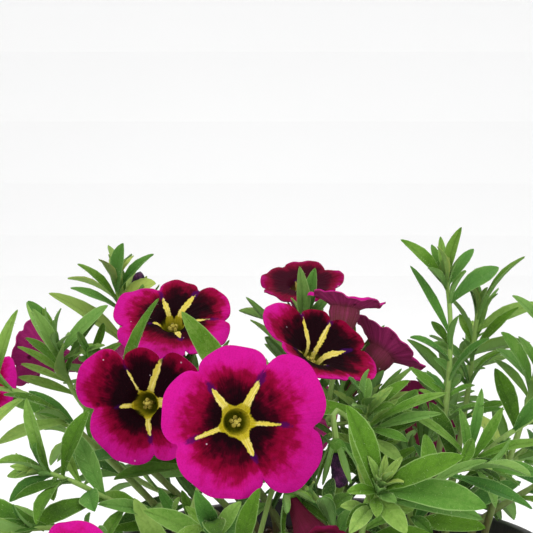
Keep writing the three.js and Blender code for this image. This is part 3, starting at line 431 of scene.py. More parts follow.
class Shoot:
    """A smooth curve through points, measured along its length."""

    DIVISIONS = 200

    def __init__(self, points: Sequence[Sequence[float]]) -> None:
        """Measures the curve.

        Args:
            points: the points that it passes through.
        """
        self.points = arr(points)
        shares = np.linspace(0, 1, self.DIVISIONS + 1)
        self.samples = np.array([self._point(share) for share in shares])
        steps = np.linalg.norm(np.diff(self.samples, axis=0), axis=1)
        self.lengths = np.concatenate([[0.0], np.cumsum(steps)])
        self.length = float(self.lengths[-1])

    def _point(self, share: float) -> Array:
        """A point on the curve.

        Args:
            share: how far along the curve's own parameter it is, from 0 to 1.

        Returns:
            The point.
        """
        points = self.points
        last = len(points) - 1
        near = min(int(share * last), last - 1)
        weight = share * last - near
        first, second = points[near], points[near + 1]
        before = points[near - 1] if near else 2 * points[0] - points[1]
        after = points[near + 2] if near + 2 <= last else 2 * points[last] - points[last - 1]
        pairs = ((before, first), (first, second), (second, after))
        one, two, three = [max(np.sum((b - a) ** 2) ** 0.25, 1e-4) for a, b in pairs]
        leaving = (first - before) / one - (second - before) / (one + two) + (second - first) / two
        coming = (second - first) / two - (after - first) / (two + three) + (after - second) / three
        leaving, coming = leaving * two, coming * two
        square = 3 * (second - first) - 2 * leaving - coming
        cube = 2 * (first - second) + leaving + coming
        return first + leaving * weight + square * weight**2 + cube * weight**3

    def at(self, share: float) -> Array:
        """The point at a share of the curve's length."""
        distance = share * self.length
        return arr([np.interp(distance, self.lengths, self.samples[:, axis]) for axis in range(3)])

    def way(self, share: float) -> Array:
        """The direction of the curve at a share of its length."""
        return unit(self.at(min(share + 0.01, 1)) - self.at(max(share - 0.01, 0)))

    def chord(self, share: float) -> tuple[Array, Array]:
        """A place on the straight stretches that the solid stem is made of.

        Args:
            share: how far along, from 0 to 1.

        Returns:
            The place, and the way of its stretch.
        """
        place = share * STEM_STEPS
        below = min(int(place), STEM_STEPS - 1)
        start = self.at(below / STEM_STEPS)
        end = self.at((below + 1) / STEM_STEPS)
        return start + (end - start) * (place - below), unit(end - start)


class Maker:
    """Gathers closed skins, with the values that materials read, into one plain mesh."""

    def __init__(self, name: str, layers: dict[str, int] | None = None) -> None:
        """Starts an empty piece.

        Args:
            name: the piece's name.
            layers: the values kept at each point, by name, with how many numbers each has.
        """
        self.name = name
        self.layers = layers or {}
        self.points: list[Array] = []
        self.faces: list[list[int]] = []
        self.slots: list[int] = []
        self.values: dict[str, list[Array]] = {layer: [] for layer in self.layers}
        self.count = 0

    def skin(
        self, first: Array, rings: Sequence[Array], last: Array,
        values: dict[str, Array] | None = None, slot: int = 0,
    ) -> None:
        """Adds a closed skin over rings of points, with a pole at both ends.

        Args:
            first: the pole before the first ring.
            rings: the rings, each with as many points as the others.
            last: the pole after the last ring.
            values: for each layer its numbers at each point of the rings.
            slot: the number of the material.
        """
        rings = np.array(rings)
        count, columns = rings.shape[:2]
        points = np.concatenate([[first], rings.reshape(-1, 3), [last]])
        grid = 1 + np.arange(count * columns).reshape(count, columns)
        beside = np.roll(grid, -1, axis=1)
        quads = np.stack([grid[:-1], beside[:-1], beside[1:], grid[1:]], axis=-1).reshape(-1, 4)
        foot = np.stack([np.zeros(columns, int), beside[0], grid[0]], axis=-1)
        head = np.stack([grid[-1], beside[-1], np.full(columns, len(points) - 1)], axis=-1)
        corners = np.concatenate([foot, head, quads[:, :3], quads[:, [0, 2, 3]]])
        a, b, c = (points[corners[:, n]] - first for n in range(3))
        if np.sum(a * np.cross(b, c)) < 0:
            quads, foot, head = quads[:, ::-1], foot[:, ::-1], head[:, ::-1]
        for block in (foot, quads, head):
            self.faces.extend((block + self.count).tolist())
        self.slots.extend([slot] * (len(foot) + len(quads) + len(head)))
        self.points.append(points)
        self.count += len(points)
        for layer, size in self.layers.items():
            kept = np.broadcast_to((values or {}).get(layer, 0.0), (count, columns, size))
            ends = kept[0].mean(axis=0, keepdims=True), kept[-1].mean(axis=0, keepdims=True)
            self.values[layer].append(np.concatenate([ends[0], kept.reshape(-1, size), ends[1]]))

    def piece(self, *materials: Material) -> Thing:
        """Makes the mesh object.

        Args:
            materials: its materials, in the order of the slots' numbers.

        Returns:
            The object, at the origin.
        """
        mesh = bpy.data.meshes.new(self.name)
        mesh.from_pydata((np.concatenate(self.points) * MM).tolist(), [], self.faces)
        for material in materials:
            mesh.materials.append(material)
        mesh.polygons.foreach_set("material_index", self.slots)
        mesh.polygons.foreach_set("use_smooth", [True] * len(self.faces))
        for layer, size in self.layers.items():
            kind, part = ("FLOAT", "value") if size == 1 else ("FLOAT_VECTOR", "vector")
            kept = mesh.attributes.new(layer, kind, "POINT")
            kept.data.foreach_set(part, np.concatenate(self.values[layer]).ravel())
        mesh.set_sharp_from_angle(angle=SHARP_EDGE)
        mesh.update()
        return show(self.name, mesh)


def show(name: str, data: bpy.types.ID) -> Thing:
    """Makes an object of a mesh, lamp or lens, in the scene.

    Args:
        name: its name.
        data: the mesh, lamp or lens.

    Returns:
        The object.
    """
    shown = bpy.data.objects.new(name, data)
    bpy.context.scene.collection.objects.link(shown)
    return shown


def draft(name: str, source: bmesh.types.BMesh) -> Thing:
    """Makes an object of a mesh that is being edited, and frees that.

    Args:
        name: its name.
        source: the edited mesh.

    Returns:
        The object.
    """
    mesh = bpy.data.meshes.new(name)
    source.to_mesh(mesh)
    source.free()
    return show(name, mesh)


def plain_copy(source: Thing, name: str) -> Thing:
    """Turns an object with modifiers into a plain mesh, and removes the source.

    Args:
        source: the object with its modifiers.
        name: the plain object's name.

    Returns:
        The plain object.
    """
    bpy.context.view_layer.update()
    evaluated = source.evaluated_get(bpy.context.evaluated_depsgraph_get())
    mesh = bpy.data.meshes.new_from_object(evaluated)
    mesh.name = name
    bpy.data.objects.remove(source)
    return show(name, mesh)


def settle(piece: Thing, slot: str, *nodes: str) -> Thing:
    """Says what a piece rides on, and hides the solids that it stands for.

    Args:
        piece: the piece.
        slot: not used.
        nodes: the names of the solids that it replaces.

    Returns:
        The piece.
    """
    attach(piece, BODY)
    if nodes:
        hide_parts(*nodes)
    logging.info("%s: %d faces", piece.name, len(piece.data.polygons))
    return piece


# ---- node trees


@dataclass(frozen=True)
class Wire:
    """What comes out of a node. Wires that carry numbers can be added, taken off and scaled."""

    board: "Board"
    socket: bpy.types.NodeSocket

    def __add__(self, other: "Wire | float") -> "Wire":
        """The sum, from a node of its own."""
        return self.board.maths("ADD", self, other)

    def __sub__(self, other: "Wire | float") -> "Wire":
        """The difference, from a node of its own."""
        return self.board.maths("SUBTRACT", self, other)

    def __rsub__(self, other: float) -> "Wire":
        """A plain number less this one, from a node of its own."""
        return self.board.maths("SUBTRACT", other, self)

    def __mul__(self, other: "Wire | float") -> "Wire":
        """The product, from a node of its own."""
        return self.board.maths("MULTIPLY", self, other)

    def __getitem__(self, title: str) -> "Wire":
        """Another output of the same node."""
        return Wire(self.board, self.socket.node.outputs[title])


class Board:
    """A node tree, with short calls that add nodes and link them."""

    def __init__(self, tree: bpy.types.NodeTree) -> None:
        """Takes the tree that the nodes go into."""
        self.tree = tree

    def feed(self, socket: bpy.types.NodeSocket, value: object) -> None:
        """Fills an input.

        Args:
            socket: the input.
            value: a wire to link it to, or the plain value that it gets.
        """
        if isinstance(value, Wire):
            self.tree.links.new(value.socket, socket)
        else:
            socket.default_value = value

    def add(
        self, kind: str, inputs: dict[int | str, object] | None = None, out: int | str = 0,
        **settings: object,
    ) -> Wire:
        """Adds a node.

        Args:
            kind: its type, without the leading ShaderNode.
            inputs: its inputs by name or number, each a wire or a plain value.
            out: the name or number of the output that is wanted.
            settings: its properties by name.

        Returns:
            The output.
        """
        whole = kind.startswith(("Node", "Geometry", "Function"))
        made = self.tree.nodes.new(kind if whole else "ShaderNode" + kind)
        for setting, value in settings.items():
            setattr(made, setting, value)
        for title, value in (inputs or {}).items():
            self.feed(made.inputs[title], value)
        return Wire(self, made.outputs[out])

    def give(self, result: Wire) -> bpy.types.NodeTree:
        """Ends a group with its result and hands back its tree."""
        self.feed(self.tree.nodes.new("NodeGroupOutput").inputs[0], result)
        return self.tree

    def maths(self, operation: str, *values: object) -> Wire:
        """A sum on numbers, which the node tree works out."""
        return self.add("Math", dict(enumerate(values)), operation=operation)

    def step(self, value: Wire, low: float, high: float) -> Wire:
        """A number that rises smoothly from 0 to 1 while a value goes from low to high."""
        limits = {"Value": value, "From Min": low, "From Max": high}
        return self.add("MapRange", limits, "Result", interpolation_type="SMOOTHSTEP")

    def noise(self, vector: Wire, scale: object, detail: float = 3.0) -> Wire:
        """Soft noise from about 0.3 to 0.7, with finer layers for more detail."""
        return self.add("TexNoise", {"Vector": vector, "Scale": scale, "Detail": detail}, "Fac")

    def parts(self, vector: Wire) -> tuple[Wire, Wire, Wire]:
        """The three numbers of a vector."""
        first = self.add("SeparateXYZ", {0: vector})
        return first, first["Y"], first["Z"]

    def joined(self, *numbers: Wire) -> Wire:
        """The vector of three numbers."""
        return self.add("CombineXYZ", dict(enumerate(numbers)))

    def vector(self, operation: str, first: Wire, second: Triple) -> Wire:
        """A sum on vectors, which the node tree works out."""
        return self.add("VectorMath", {0: first, 1: second}, operation=operation)

    def ramp(self, value: Wire, stops: Sequence[tuple[float, Colour]]) -> Wire:
        """The colour at a number on a scale of colours.

        Args:
            value: the number, from 0 to 1.
            stops: the places and colours of the scale.

        Returns:
            The colour.
        """
        scale = self.add("ValToRGB", {0: value})
        points = scale.socket.node.color_ramp.elements
        while len(points) < len(stops):
            points.new(0.5)
        for point, (place, colour) in zip(points, stops):
            point.position = place
            point.color = colour
        return scale

    def mix(self, share: Wire, under: object, over: object) -> Wire:
        """One colour laid over another, from 0 for none of it to 1 for all."""
        return self.add("Mix", {"Factor": share, 6: under, 7: over}, 2, data_type="RGBA")

    def layer(self, name: str, out: str = "Fac") -> Wire:
        """One of a piece's own values."""
        return self.add("Attribute", out=out, attribute_name=name)

    def place(self) -> Wire:
        """The point on the object, in metres."""
        return self.add("TexCoord", out="Object")

    def use(self, group: str, **inputs: object) -> Wire:
        """The result of a shared node group, given its inputs by name."""
        return self.add("Group", inputs, node_tree=bpy.data.node_groups[group])

    def bump(self, height: Wire, distance: float, strength: float) -> Wire:
        """A surface's fine relief, from its height and from its depth in metres."""
        relief = {"Height": height, "Distance": distance, "Strength": strength}
        return self.add("Bump", relief, "Normal")


def start_group(name: str, kind: str, result: str, inputs: dict[str, object]) -> Wire:
    """Starts a node group that has one output.

    Args:
        name: the group's name.
        kind: Shader or Geometry.
        result: the kind of its output, such as Float.
        inputs: its inputs by name, each a first number or the name of its kind.

    Returns:
        Its first input. The others are read from it by name, in brackets.
    """
    tree = bpy.data.node_groups.new(name, kind + "NodeTree")
    tree.interface.new_socket("Result", in_out="OUTPUT", socket_type="NodeSocket" + result)
    for title, value in inputs.items():
        sort = value if isinstance(value, str) else "Float"
        socket = tree.interface.new_socket(title, in_out="INPUT", socket_type="NodeSocket" + sort)
        if sort is not value:
            socket.default_value = value
    return Board(tree).add("NodeGroupInput")


def make_mottle() -> None:
    """Makes the shared group mottle: uneven light and dark patches, coarse and fine, 0 to 1."""
    taken = start_group("mottle", "Shader", "Float", {
        "Vector": "Vector", "Coarse": 120.0, "Fine": 900.0, "Share": 0.4})
    board = taken.board
    coarse, fine = (board.noise(taken, taken[size], 2.0) for size in ("Coarse", "Fine"))
    both = board.add("Mix", {0: taken["Share"], 2: coarse, 3: fine}, data_type="FLOAT")
    board.give(board.step(both, 0.3, 0.7))


def make_grain() -> None:
    """Makes the shared group grain: fine streaks outward from a flower's middle, 0 to 1."""
    taken = start_group("grain", "Shader", "Float", {
        "Vector": "Vector", "Streaks": 26.0, "Run": 1.2})
    board, streaks, run = taken.board, taken["Streaks"], taken["Run"]
    x, y, z = board.parts(taken)
    stretched = board.joined(x * streaks, y * streaks, z * run)
    board.give(board.step(board.noise(stretched, 1.0), 0.3, 0.7))


# ---- finishes


def paint(red: int, green: int, blue: int) -> Colour:
    """A screen colour, each part from 0 to 255, as the linear colour that shaders take."""
    parts = (part / 255 for part in (red, green, blue))
    return *(c / 12.92 if c <= 0.04045 else ((c + 0.055) / 1.055) ** 2.4 for c in parts), 1.0


@dataclass(frozen=True)
class Finish:
    """What every finish has: a name, and the shader's numbers that are the same all over."""

    name: str
    roughness: float = 0.5
    sheen: float = 0.0
    specular: float = 0.4

    def material(self) -> Material:
        """Makes the material.

        Returns:
            The material.
        """
        made = bpy.data.materials.new(self.name)
        made.use_nodes = True
        shader = made.node_tree.nodes["Principled BSDF"]
        shader.inputs["Roughness"].default_value = self.roughness
        shader.inputs["Sheen Weight"].default_value = self.sheen
        shader.inputs["Specular IOR Level"].default_value = self.specular
        board = Board(made.node_tree)
        for title, value in self.surface(board).items():
            board.feed(shader.inputs[title], value)
        return made

    def surface(self, board: Board) -> dict[str, Wire]:
        """Draws what changes over the surface.

        Args:
            board: the material's board.

        Returns:
            What feeds the shader, by the names of its inputs.
        """
        raise NotImplementedError


@dataclass(frozen=True)
class LeafFinish(Finish):
    """Soft green blades: a creased midrib darkened with painted shade, a thin pale hairy margin, a
    grey-green underside.

    It reads the layers blade and upper.
    """

    deep: Colour = paint(26, 60, 4)
    middle: Colour = paint(84, 128, 28)
    light: Colour = paint(144, 176, 86)
    young: Colour = paint(168, 186, 88)
    under: Colour = paint(116, 156, 82)
    # dark green for the painted shade in the midrib crease, also used for the vein lines
    crease: Colour = paint(44, 80, 14)
    margin: Colour = paint(168, 198, 126)
    fuzz: Colour = paint(144, 174, 90)
    cool: Colour = paint(70, 128, 62)
    crown: tuple[float, float] = (0.085, 0.135)

    def surface(self, board: Board) -> dict[str, Wire]:
        """Draws the blades, darker low in the plant than up in its crown.

        Args:
            board: the material's board.

        Returns:
            What feeds the shader.
        """
        place = board.place()
        across, along, seed = board.parts(board.layer("blade", "Vector"))
        beside = board.maths("ABSOLUTE", across)
        patches = board.use("mottle", Vector=place, Coarse=160.0, Fine=1500.0, Share=0.35)
        high = board.step(board.parts(place)[2], *self.crown)
        tone = seed * 0.7 + patches * 0.24 + along * 0.1 + (high * 0.24 - 0.17)
        colour = board.ramp(
            tone, [(0.0, self.deep), (0.5, self.middle), (0.9, self.light), (1.0, self.young)])
        turn = board.maths("FRACT", seed * 7.3)
        colour = board.mix(board.step(turn, 0.3, 1.0) * 0.5, colour, self.cool)
        slant = board.maths("SINE", along * 38.0 - beside * 8.0)
        veins = board.step((slant + 1.0) * 0.5, 0.8, 1.0)
        crease = 1.0 - board.step(beside, 0.02, 0.2)
        # painted shade darkens the midrib crease; the slanted vein lines take the same dark green
        colour = board.mix(crease * 0.09 + veins * 0.06, colour, self.crease)
        hairs = board.step(board.noise(place, 5200.0, 1.0), 0.5, 0.72)
        colour = board.mix(hairs * 0.18, colour, self.fuzz)
        colour = board.mix(board.step(beside, 0.86, 1.0) * 0.5, colour, self.margin)
        below = 1.0 - board.step(board.layer("upper"), 0.1, 0.6)
        colour = board.mix(below * 0.7, colour, self.under)
        relief = veins * 0.35 + patches * 0.4 + hairs * 0.3 - crease * 0.4
        return {
            "Base Color": colour, "Normal": board.bump(relief, 0.00016, 0.8),
            "Roughness": patches * 0.14 + self.roughness,
        }


@dataclass(frozen=True)
class StemFinish(Finish):
    """Green stems, paler on young wood and brownish where they are old and near the soil."""

    young: Colour = paint(132, 165, 78)
    grown: Colour = paint(104, 122, 58)
    woody: Colour = paint(98, 78, 48)

    def surface(self, board: Board) -> dict[str, Wire]:
        """Draws the bark, which reads the layer blade.

        Args:
            board: the material's board.

        Returns:
            What feeds the shader.
        """
        drawn_out = board.vector("MULTIPLY", board.place(), (1.0, 1.0, 0.2))
        streaks = board.use("mottle", Vector=drawn_out, Coarse=700.0, Fine=2600.0, Share=0.5)
        age = board.parts(board.layer("blade", "Vector"))[1] + streaks * 0.25
        colour = board.ramp(age, [(0.2, self.woody), (0.5, self.grown), (0.95, self.young)])
        return {"Base Color": colour, "Normal": board.bump(streaks, 0.00012, 0.7)}


@dataclass(frozen=True)
class PetalFinish(Finish):
    """Velvet petals: near-black to magenta outward, with a yellow star and an olive throat.

    It reads the layers that Flower writes.
    """

    heart: Colour = paint(20, 3, 8)
    maroon: Colour = paint(54, 1, 16)
    crimson: Colour = paint(118, 2, 38)
    bright: Colour = paint(140, 4, 56)
    magenta: Colour = paint(178, 12, 106)
    edge: Colour = paint(191, 20, 133)
    yellow: Colour = paint(208, 190, 74)
    pale_yellow: Colour = paint(222, 206, 122)
    olive: Colour = paint(176, 160, 18)
    deep_green: Colour = paint(112, 116, 14)
    violet: Colour = paint(54, 6, 76)
    back: Colour = paint(196, 62, 132)
    back_vein: Colour = paint(104, 20, 58)
    tube: Colour = paint(84, 60, 28)
    faded: Colour = paint(150, 30, 104)
    # the dull maroon of faded flowers, also used as painted shade on the flower behind at the right
    dull: Colour = paint(84, 14, 40)
    dust: Colour = paint(214, 190, 204)

    def _spots(self, board: Board, scale: float, rim: Sequence[float], rarity: float) -> Wire:
        """Round spots strewn over the petals.

        Args:
            board: the material's board.
            scale: how many places for a spot lie on a metre.
            rim: where a spot starts to fade and where it ends, as shares of a place.
            rarity: the share of the places that stay bare.

        Returns:
            The spots' strength.
        """
        far = board.add("TexVoronoi", {"Vector": board.place(), "Scale": scale}, "Distance")
        chance = board.add("SeparateColor", {0: far["Color"]})
        return (1.0 - board.step(far, *rim)) * board.step(chance, rarity, rarity + 0.02)

    def surface(self, board: Board) -> dict[str, Wire]:
        """Draws the petals, from their ground colour up to the dust on them.

        Args:
            board: the material's board.

        Returns:
            What feeds the shader.
        """
        place = board.place()
        outward = board.layer("grain", "Vector")
        grain = board.use("grain", Vector=outward)
        veins = board.use("grain", Vector=outward, Streaks=11.0, Run=0.5)
        mottle = board.use("mottle", Vector=place, Coarse=260.0, Fine=2200.0, Share=0.3)
        clouds = board.use("mottle", Vector=place, Coarse=190.0, Fine=620.0, Share=0.45)
        shift = clouds * 0.24 + grain * 0.05 + mottle * 0.06 - 0.175
        tone = board.layer("tone") + shift
        colour = board.ramp(tone, [
            (0.08, self.heart), (0.24, self.maroon), (0.4, self.crimson),
            (0.53, self.bright), (0.64, self.magenta), (0.78, self.edge),
        ])
        smear = board.layer("violet") + (mottle - 0.6) * 0.8
        colour = board.mix(board.step(smear, -0.25, 0.45) * 0.8, colour, self.violet)
        star = board.layer("star")
        ragged = star + (board.noise(place, 1300.0, 2.0) - 0.5) * 0.75
        stripe = board.mix(board.step(grain, 0.3, 0.9), self.yellow, self.pale_yellow)
        colour = board.mix(board.step(ragged, -0.06, 0.14), colour, stripe)
        out = board.layer("out")
        ring = out + (veins - 0.5) * 0.22 - board.step(star, -0.7, 0.1) * 0.75
        olive = board.mix(veins * 0.5, self.olive, self.yellow)
        colour = board.mix(1.0 - board.step(ring, 3.0, 3.5), colour, olive)
        colour = board.mix(board.step(board.layer("depth"), 0.3, 4.4), colour, self.deep_green)
        skin = board.mix(veins * 0.5, self.back, self.back_vein)
        funnel = 1.0 - board.step(out, 2.6, 6.0)
        skin = board.mix(funnel * (grain * 0.3 + 0.65), skin, self.tube)
        colour = board.mix(board.step(board.layer("back"), 0.35, 0.65), colour, skin)
        colour = board.mix(board.layer("age") * (mottle * 0.4 + 0.45), colour, self.faded)
        # the dull maroon: faded colour on old flowers, and painted shade on the flower behind at the
        # right
        colour = board.mix(board.layer("dusk"), colour, self.dull)
        inner = 0.75 - board.step(tone, 0.42, 0.62) * 0.75
        blots = self._spots(board, 250.0, (0.06, 0.2), 0.4)
        colour = board.mix(blots * inner, colour, self.heart)
        specks = self._spots(board, 300.0, (0.03, 0.07), 0.74)
        colour = board.mix(specks * 0.7, colour, self.dust)
        velvet = board.step(board.noise(place, 3400.0, 1.0), 0.45, 0.7)
        colour = board.mix(velvet * 0.14, colour, self.maroon)
        relief = grain * 0.6 + mottle * 0.25
        return {"Base Color": colour, "Normal": board.bump(relief, 0.0002, 0.6)}


@dataclass(frozen=True, kw_only=True)
class PatchyFinish(Finish):
    """A finish of three colours in patches: pollen, buds, soil, bark, grit and hairs."""

    dark: Colour
    main: Colour
    light: Colour
    coarse: float = 300.0
    fine: float = 2500.0
    relief: float = 0.0003

    def surface(self, board: Board) -> dict[str, Wire]:
        """Draws the patches.

        Args:
            board: the material's board.

        Returns:
            What feeds the shader.
        """
        patches = board.use(
            "mottle", Vector=board.place(), Coarse=self.coarse, Fine=self.fine, Share=0.45)
        colour = board.ramp(patches, [(0.1, self.dark), (0.5, self.main), (0.95, self.light)])
        return {"Base Color": colour, "Normal": board.bump(patches, self.relief, 0.9)}


@dataclass(frozen=True)
class PotFinish(Finish):
    """Black moulded plastic: a fine pebbled skin, faint rubs, and dried soil dust low down."""

    black: Colour = paint(22, 23, 24)
    worn: Colour = paint(46, 47, 48)
    dust: Colour = paint(112, 96, 78)

    def surface(self, board: Board) -> dict[str, Wire]:
        """Draws the plastic, with dust near the foot and a little near the rim.

        Args:
            board: the material's board.

        Returns:
            What feeds the shader.
        """
        place = board.place()
        height = board.parts(place)[2]
        pebbles = board.noise(place, 2600.0, 2.0)
        drawn_out = board.vector("MULTIPLY", place, (1.0, 1.0, 0.12))
        rubs = board.use("mottle", Vector=drawn_out, Coarse=90.0, Fine=1400.0, Share=0.6)
        clouds = board.use("mottle", Vector=place, Coarse=45.0, Fine=380.0, Share=0.4)
        low = 1.0 - board.step(height, 0.0, 0.03)
        high = board.step(height, 0.083, 0.0905)
        colour = board.mix(board.step(rubs, 0.55, 1.0) * 0.4, self.black, self.worn)
        dirt = (low + high * 0.5) * board.step(clouds, 0.35, 1.0) * 0.3
        film = dirt + clouds * 0.05
        relief = pebbles * 0.6 + rubs * 0.3
        return {
            "Base Color": board.mix(film, colour, self.dust),
            "Roughness": film * 0.8 + self.roughness,
            "Normal": board.bump(relief, 0.00012, 0.7),
        }


@dataclass(frozen=True)
class PaperFinish(Finish):
    """The studio's pale paper."""

    shaded: Colour = paint(250, 250, 250)
    lit: Colour = paint(253, 253, 253)

    def surface(self, board: Board) -> dict[str, Wire]:
        """Draws the paper, a little uneven."""
        clouds = board.noise(board.place(), 3.0)
        return {"Base Color": board.mix(clouds, self.shaded, self.lit)}


FINISHES = (
    LeafFinish("leaf", roughness=0.6, sheen=0.02, specular=0.14),
    StemFinish("stem", roughness=0.6, sheen=0.05),
    PetalFinish("velvet_petal", roughness=0.7, specular=0.03),
    PatchyFinish(
        "pollen", roughness=0.85, dark=paint(104, 92, 24), main=paint(168, 152, 50),
        light=paint(214, 198, 96), coarse=900.0, fine=6000.0, relief=0.0002),
    PatchyFinish(
        "closed_petal", roughness=0.6, dark=paint(28, 8, 32), main=paint(62, 18, 66),
        light=paint(104, 44, 96), coarse=700.0, fine=3600.0),
    PatchyFinish(
        "earth", roughness=0.95, dark=paint(26, 18, 13), main=paint(48, 34, 24),
        light=paint(82, 62, 44), coarse=380.0, fine=2200.0, relief=0.0006),
    PatchyFinish(
        "bark", roughness=0.85, dark=paint(52, 34, 22), main=paint(92, 64, 42),
        light=paint(136, 104, 72), coarse=500.0, fine=2600.0),
    PatchyFinish(
        "grit", roughness=0.9, dark=paint(176, 170, 158), main=paint(214, 210, 200),
        light=paint(238, 236, 230), coarse=900.0, fine=4000.0),
    PatchyFinish(
        "leaf_down", roughness=0.7, dark=paint(126, 156, 78), main=paint(160, 186, 112),
        light=paint(200, 216, 170)),
    PotFinish("moulded_plastic", roughness=0.42, specular=0.5),
    PaperFinish("studio_paper", roughness=0.9, specular=0.5),
)

# ---- leaves and stems

LEAF_LAYERS = {"blade": 3, "upper": 1}


class Form(Enum):
    """The outlines of leaves: the half width at each of their rings, as a share of the widest."""

    BROAD = (0.24, 0.27, 0.5, 0.8, 0.98, 0.97, 0.76, 0.47, 0.2)
    NARROW = (0.3, 0.34, 0.52, 0.76, 0.97, 0.95, 0.74, 0.47, 0.2)
    SEPAL = (0.75, 0.86, 0.96, 1.0, 0.98, 0.9, 0.74, 0.52, 0.26)


@dataclass
class Leaf:
    """One blade, folded a little along its midrib, from its stem's axis to its tip."""

    root: Array
    tip: Array
    width: float
    face: Array
    form: Form
    seed: float
    fold: float = 0.3
    arch: float = BLADE_ARCH
    thickness: float = 0.34
    bright: float = 0.0
    pillow: float = 0.09
    ruffle: float = 0.08
    keel: float = 0.3
    sway: float = 0.05
    twist: float = 0.5
    inset: float = 0.55
    least_half: float = 0.22
    rings: tuple[float, ...] = (0.0, 0.08, 0.2, 0.34, 0.5, 0.66, 0.8, 0.91, 0.975)

    def __post_init__(self) -> None:
        """Works out its length, its side and the way that its upper face looks."""
        self.length = np.linalg.norm(self.tip - self.root)
        self.ahead = unit(self.tip - self.root)
        side = np.cross(self.ahead, self.face)
        if np.linalg.norm(side) < 0.05:
            side = np.cross(self.ahead, unit((0, 1, 0)))
        self.side = unit(side)
        self.up = np.cross(self.side, self.ahead)

    def middle(self, share: float) -> Array:
        """A point on its midrib.

        Args:
            share: how far along, from 0 to 1.

        Returns:
            The point.
        """
        rise = 4 * self.arch * self.length * share * (1 - share)
        sway = self.sway * (draw(self.seed + 3) - 0.5) * self.length * math.sin(math.pi * share)
        return self.root + (self.tip - self.root) * share + self.up * rise + self.side * sway

    def grow(self, maker: Maker) -> None:
        """Adds the leaf to a piece.

        Args:
            maker: the piece.
        """
        twist = self.twist * (draw(self.seed + 5) - 0.5)
        fold = self.fold * (0.6 + 0.8 * draw(self.seed + 7))
        rings = []
        for share, breadth in zip(self.rings, self.form.value):
            half = max(0.5 * self.width * breadth, self.least_half)
            lean = twist * share
            out = self.side * math.cos(lean) + self.up * math.sin(lean)
            top = self.up * math.cos(lean) - self.side * math.sin(lean)
            edge = fold * half
            wave = self.ruffle * half * math.sin(9 * share + 40 * self.seed)
            flank = 0.5 * edge + self.pillow * half
            skin = self.thickness * (1 - 0.35 * share)
            keel = self.keel * (1 - 0.8 * share)
            section = (
                (-half, edge + wave), (-self.inset * half, flank), (0, -0.04),
                (self.inset * half, flank), (half, edge - wave), (0.5 * half, flank - skin),
                (0, -skin - keel), (-0.5 * half, flank - skin),
            )
            centre = self.middle(share)
            rings.append([centre + out * x + top * z for x, z in section])
        blade = np.zeros((len(rings), 8, 3))
        blade[:, :, 0] = (-1, -self.inset, 0, self.inset, 1, 0.5, 0, -0.5)
        blade[:, :, 1] = np.array(self.rings)[:, None]
        blade[:, :, 2] = draw(self.seed) + self.bright
        upper = arr((0.7, 1, 1, 1, 0.7, 0, 0, 0))[:, None]
        maker.skin(
            self.middle(0) - self.ahead * 0.1, rings, self.tip, {"blade": blade, "upper": upper})


def lit_way(growth: Array, tip: Array) -> Array:
    """The way that the upper face of a leaf looks: from its stem's growth partly to the light.

    Args:
        growth: the way that the stem grows where the leaf stands on it.
        tip: the leaf's tip, which tells the front of the plant from the back.

    Returns:
        The way.
    """
    lean = LIGHT_LEAN if tip[1] >= LIGHT_FRONT_TO else -LIGHT_LEAN
    return unit(growth + (unit((0, lean, LIGHT_RISE)) - growth) * LIGHT_SHARE)


def spiral_tip(
    start: Array, growth: Array, aside: Triple, turn: float, opening: float, length: float,
) -> Array:
    """The tip of a leaf that stands off its stem.

    Args:
        start: where it leaves the stem.
        growth: the way that the stem grows there.
        aside: the way that turns are counted from.
        turn: how far round the stem it stands, in radians.
        opening: how far it stands off, in radians.
        length: its length.

    Returns:
        The tip.
    """
    sideways = turned(unit(np.cross(growth, unit(aside))), growth, turn)
    return start + growth * length * math.cos(opening) + sideways * length * math.sin(opening)


def tube(
    maker: Maker, shoot: Shoot, radius: Callable[[float], float], sides: int, stretches: int,
    slot: int, age: tuple[float, float] = (0.0, 1.0),
) -> None:
    """Adds a round tube along a curve, with rounded ends.

    Args:
        maker: the piece that it goes into.
        shoot: the curve.
        radius: its radius at a share of its length.
        sides: its points round.
        stretches: its rings along.
        slot: the number of the material.
        age: the numbers that its finish reads at its foot and its head.
    """
    shares = np.linspace(0, 1, stretches)
    across = np.cross(shoot.way(0), unit((0.31, 0.9, 0.3)))
    rings = []
    for share in shares:
        way = shoot.way(share)
        across = unit(across - way * np.dot(across, way))
        beside = np.cross(way, across)
        rings.append(hoop(shoot.at(share), radius(share), across, beside, spokes(sides)))
    blade = np.zeros((stretches, sides, 3))
    blade[:, :, 1] = (age[0] + (age[1] - age[0]) * shares)[:, None]
    foot = shoot.at(0) - shoot.way(0) * 0.5 * radius(0)
    head = shoot.at(1) + shoot.way(1) * 0.8 * radius(1)
    maker.skin(foot, rings, head, {"blade": blade, "upper": np.array(0.5)}, slot)


def bloom_ways(facing: Triple) -> tuple[Array, Array, Array]:
    """The ways of a flower.

    Args:
        facing: the way that it looks.

    Returns:
        Forward out of its throat, to its right, and up.
    """
    forward = unit(facing)
    up = unit(arr((0, 0, 1)) - forward * forward[2])
    return forward, np.cross(up, forward), up


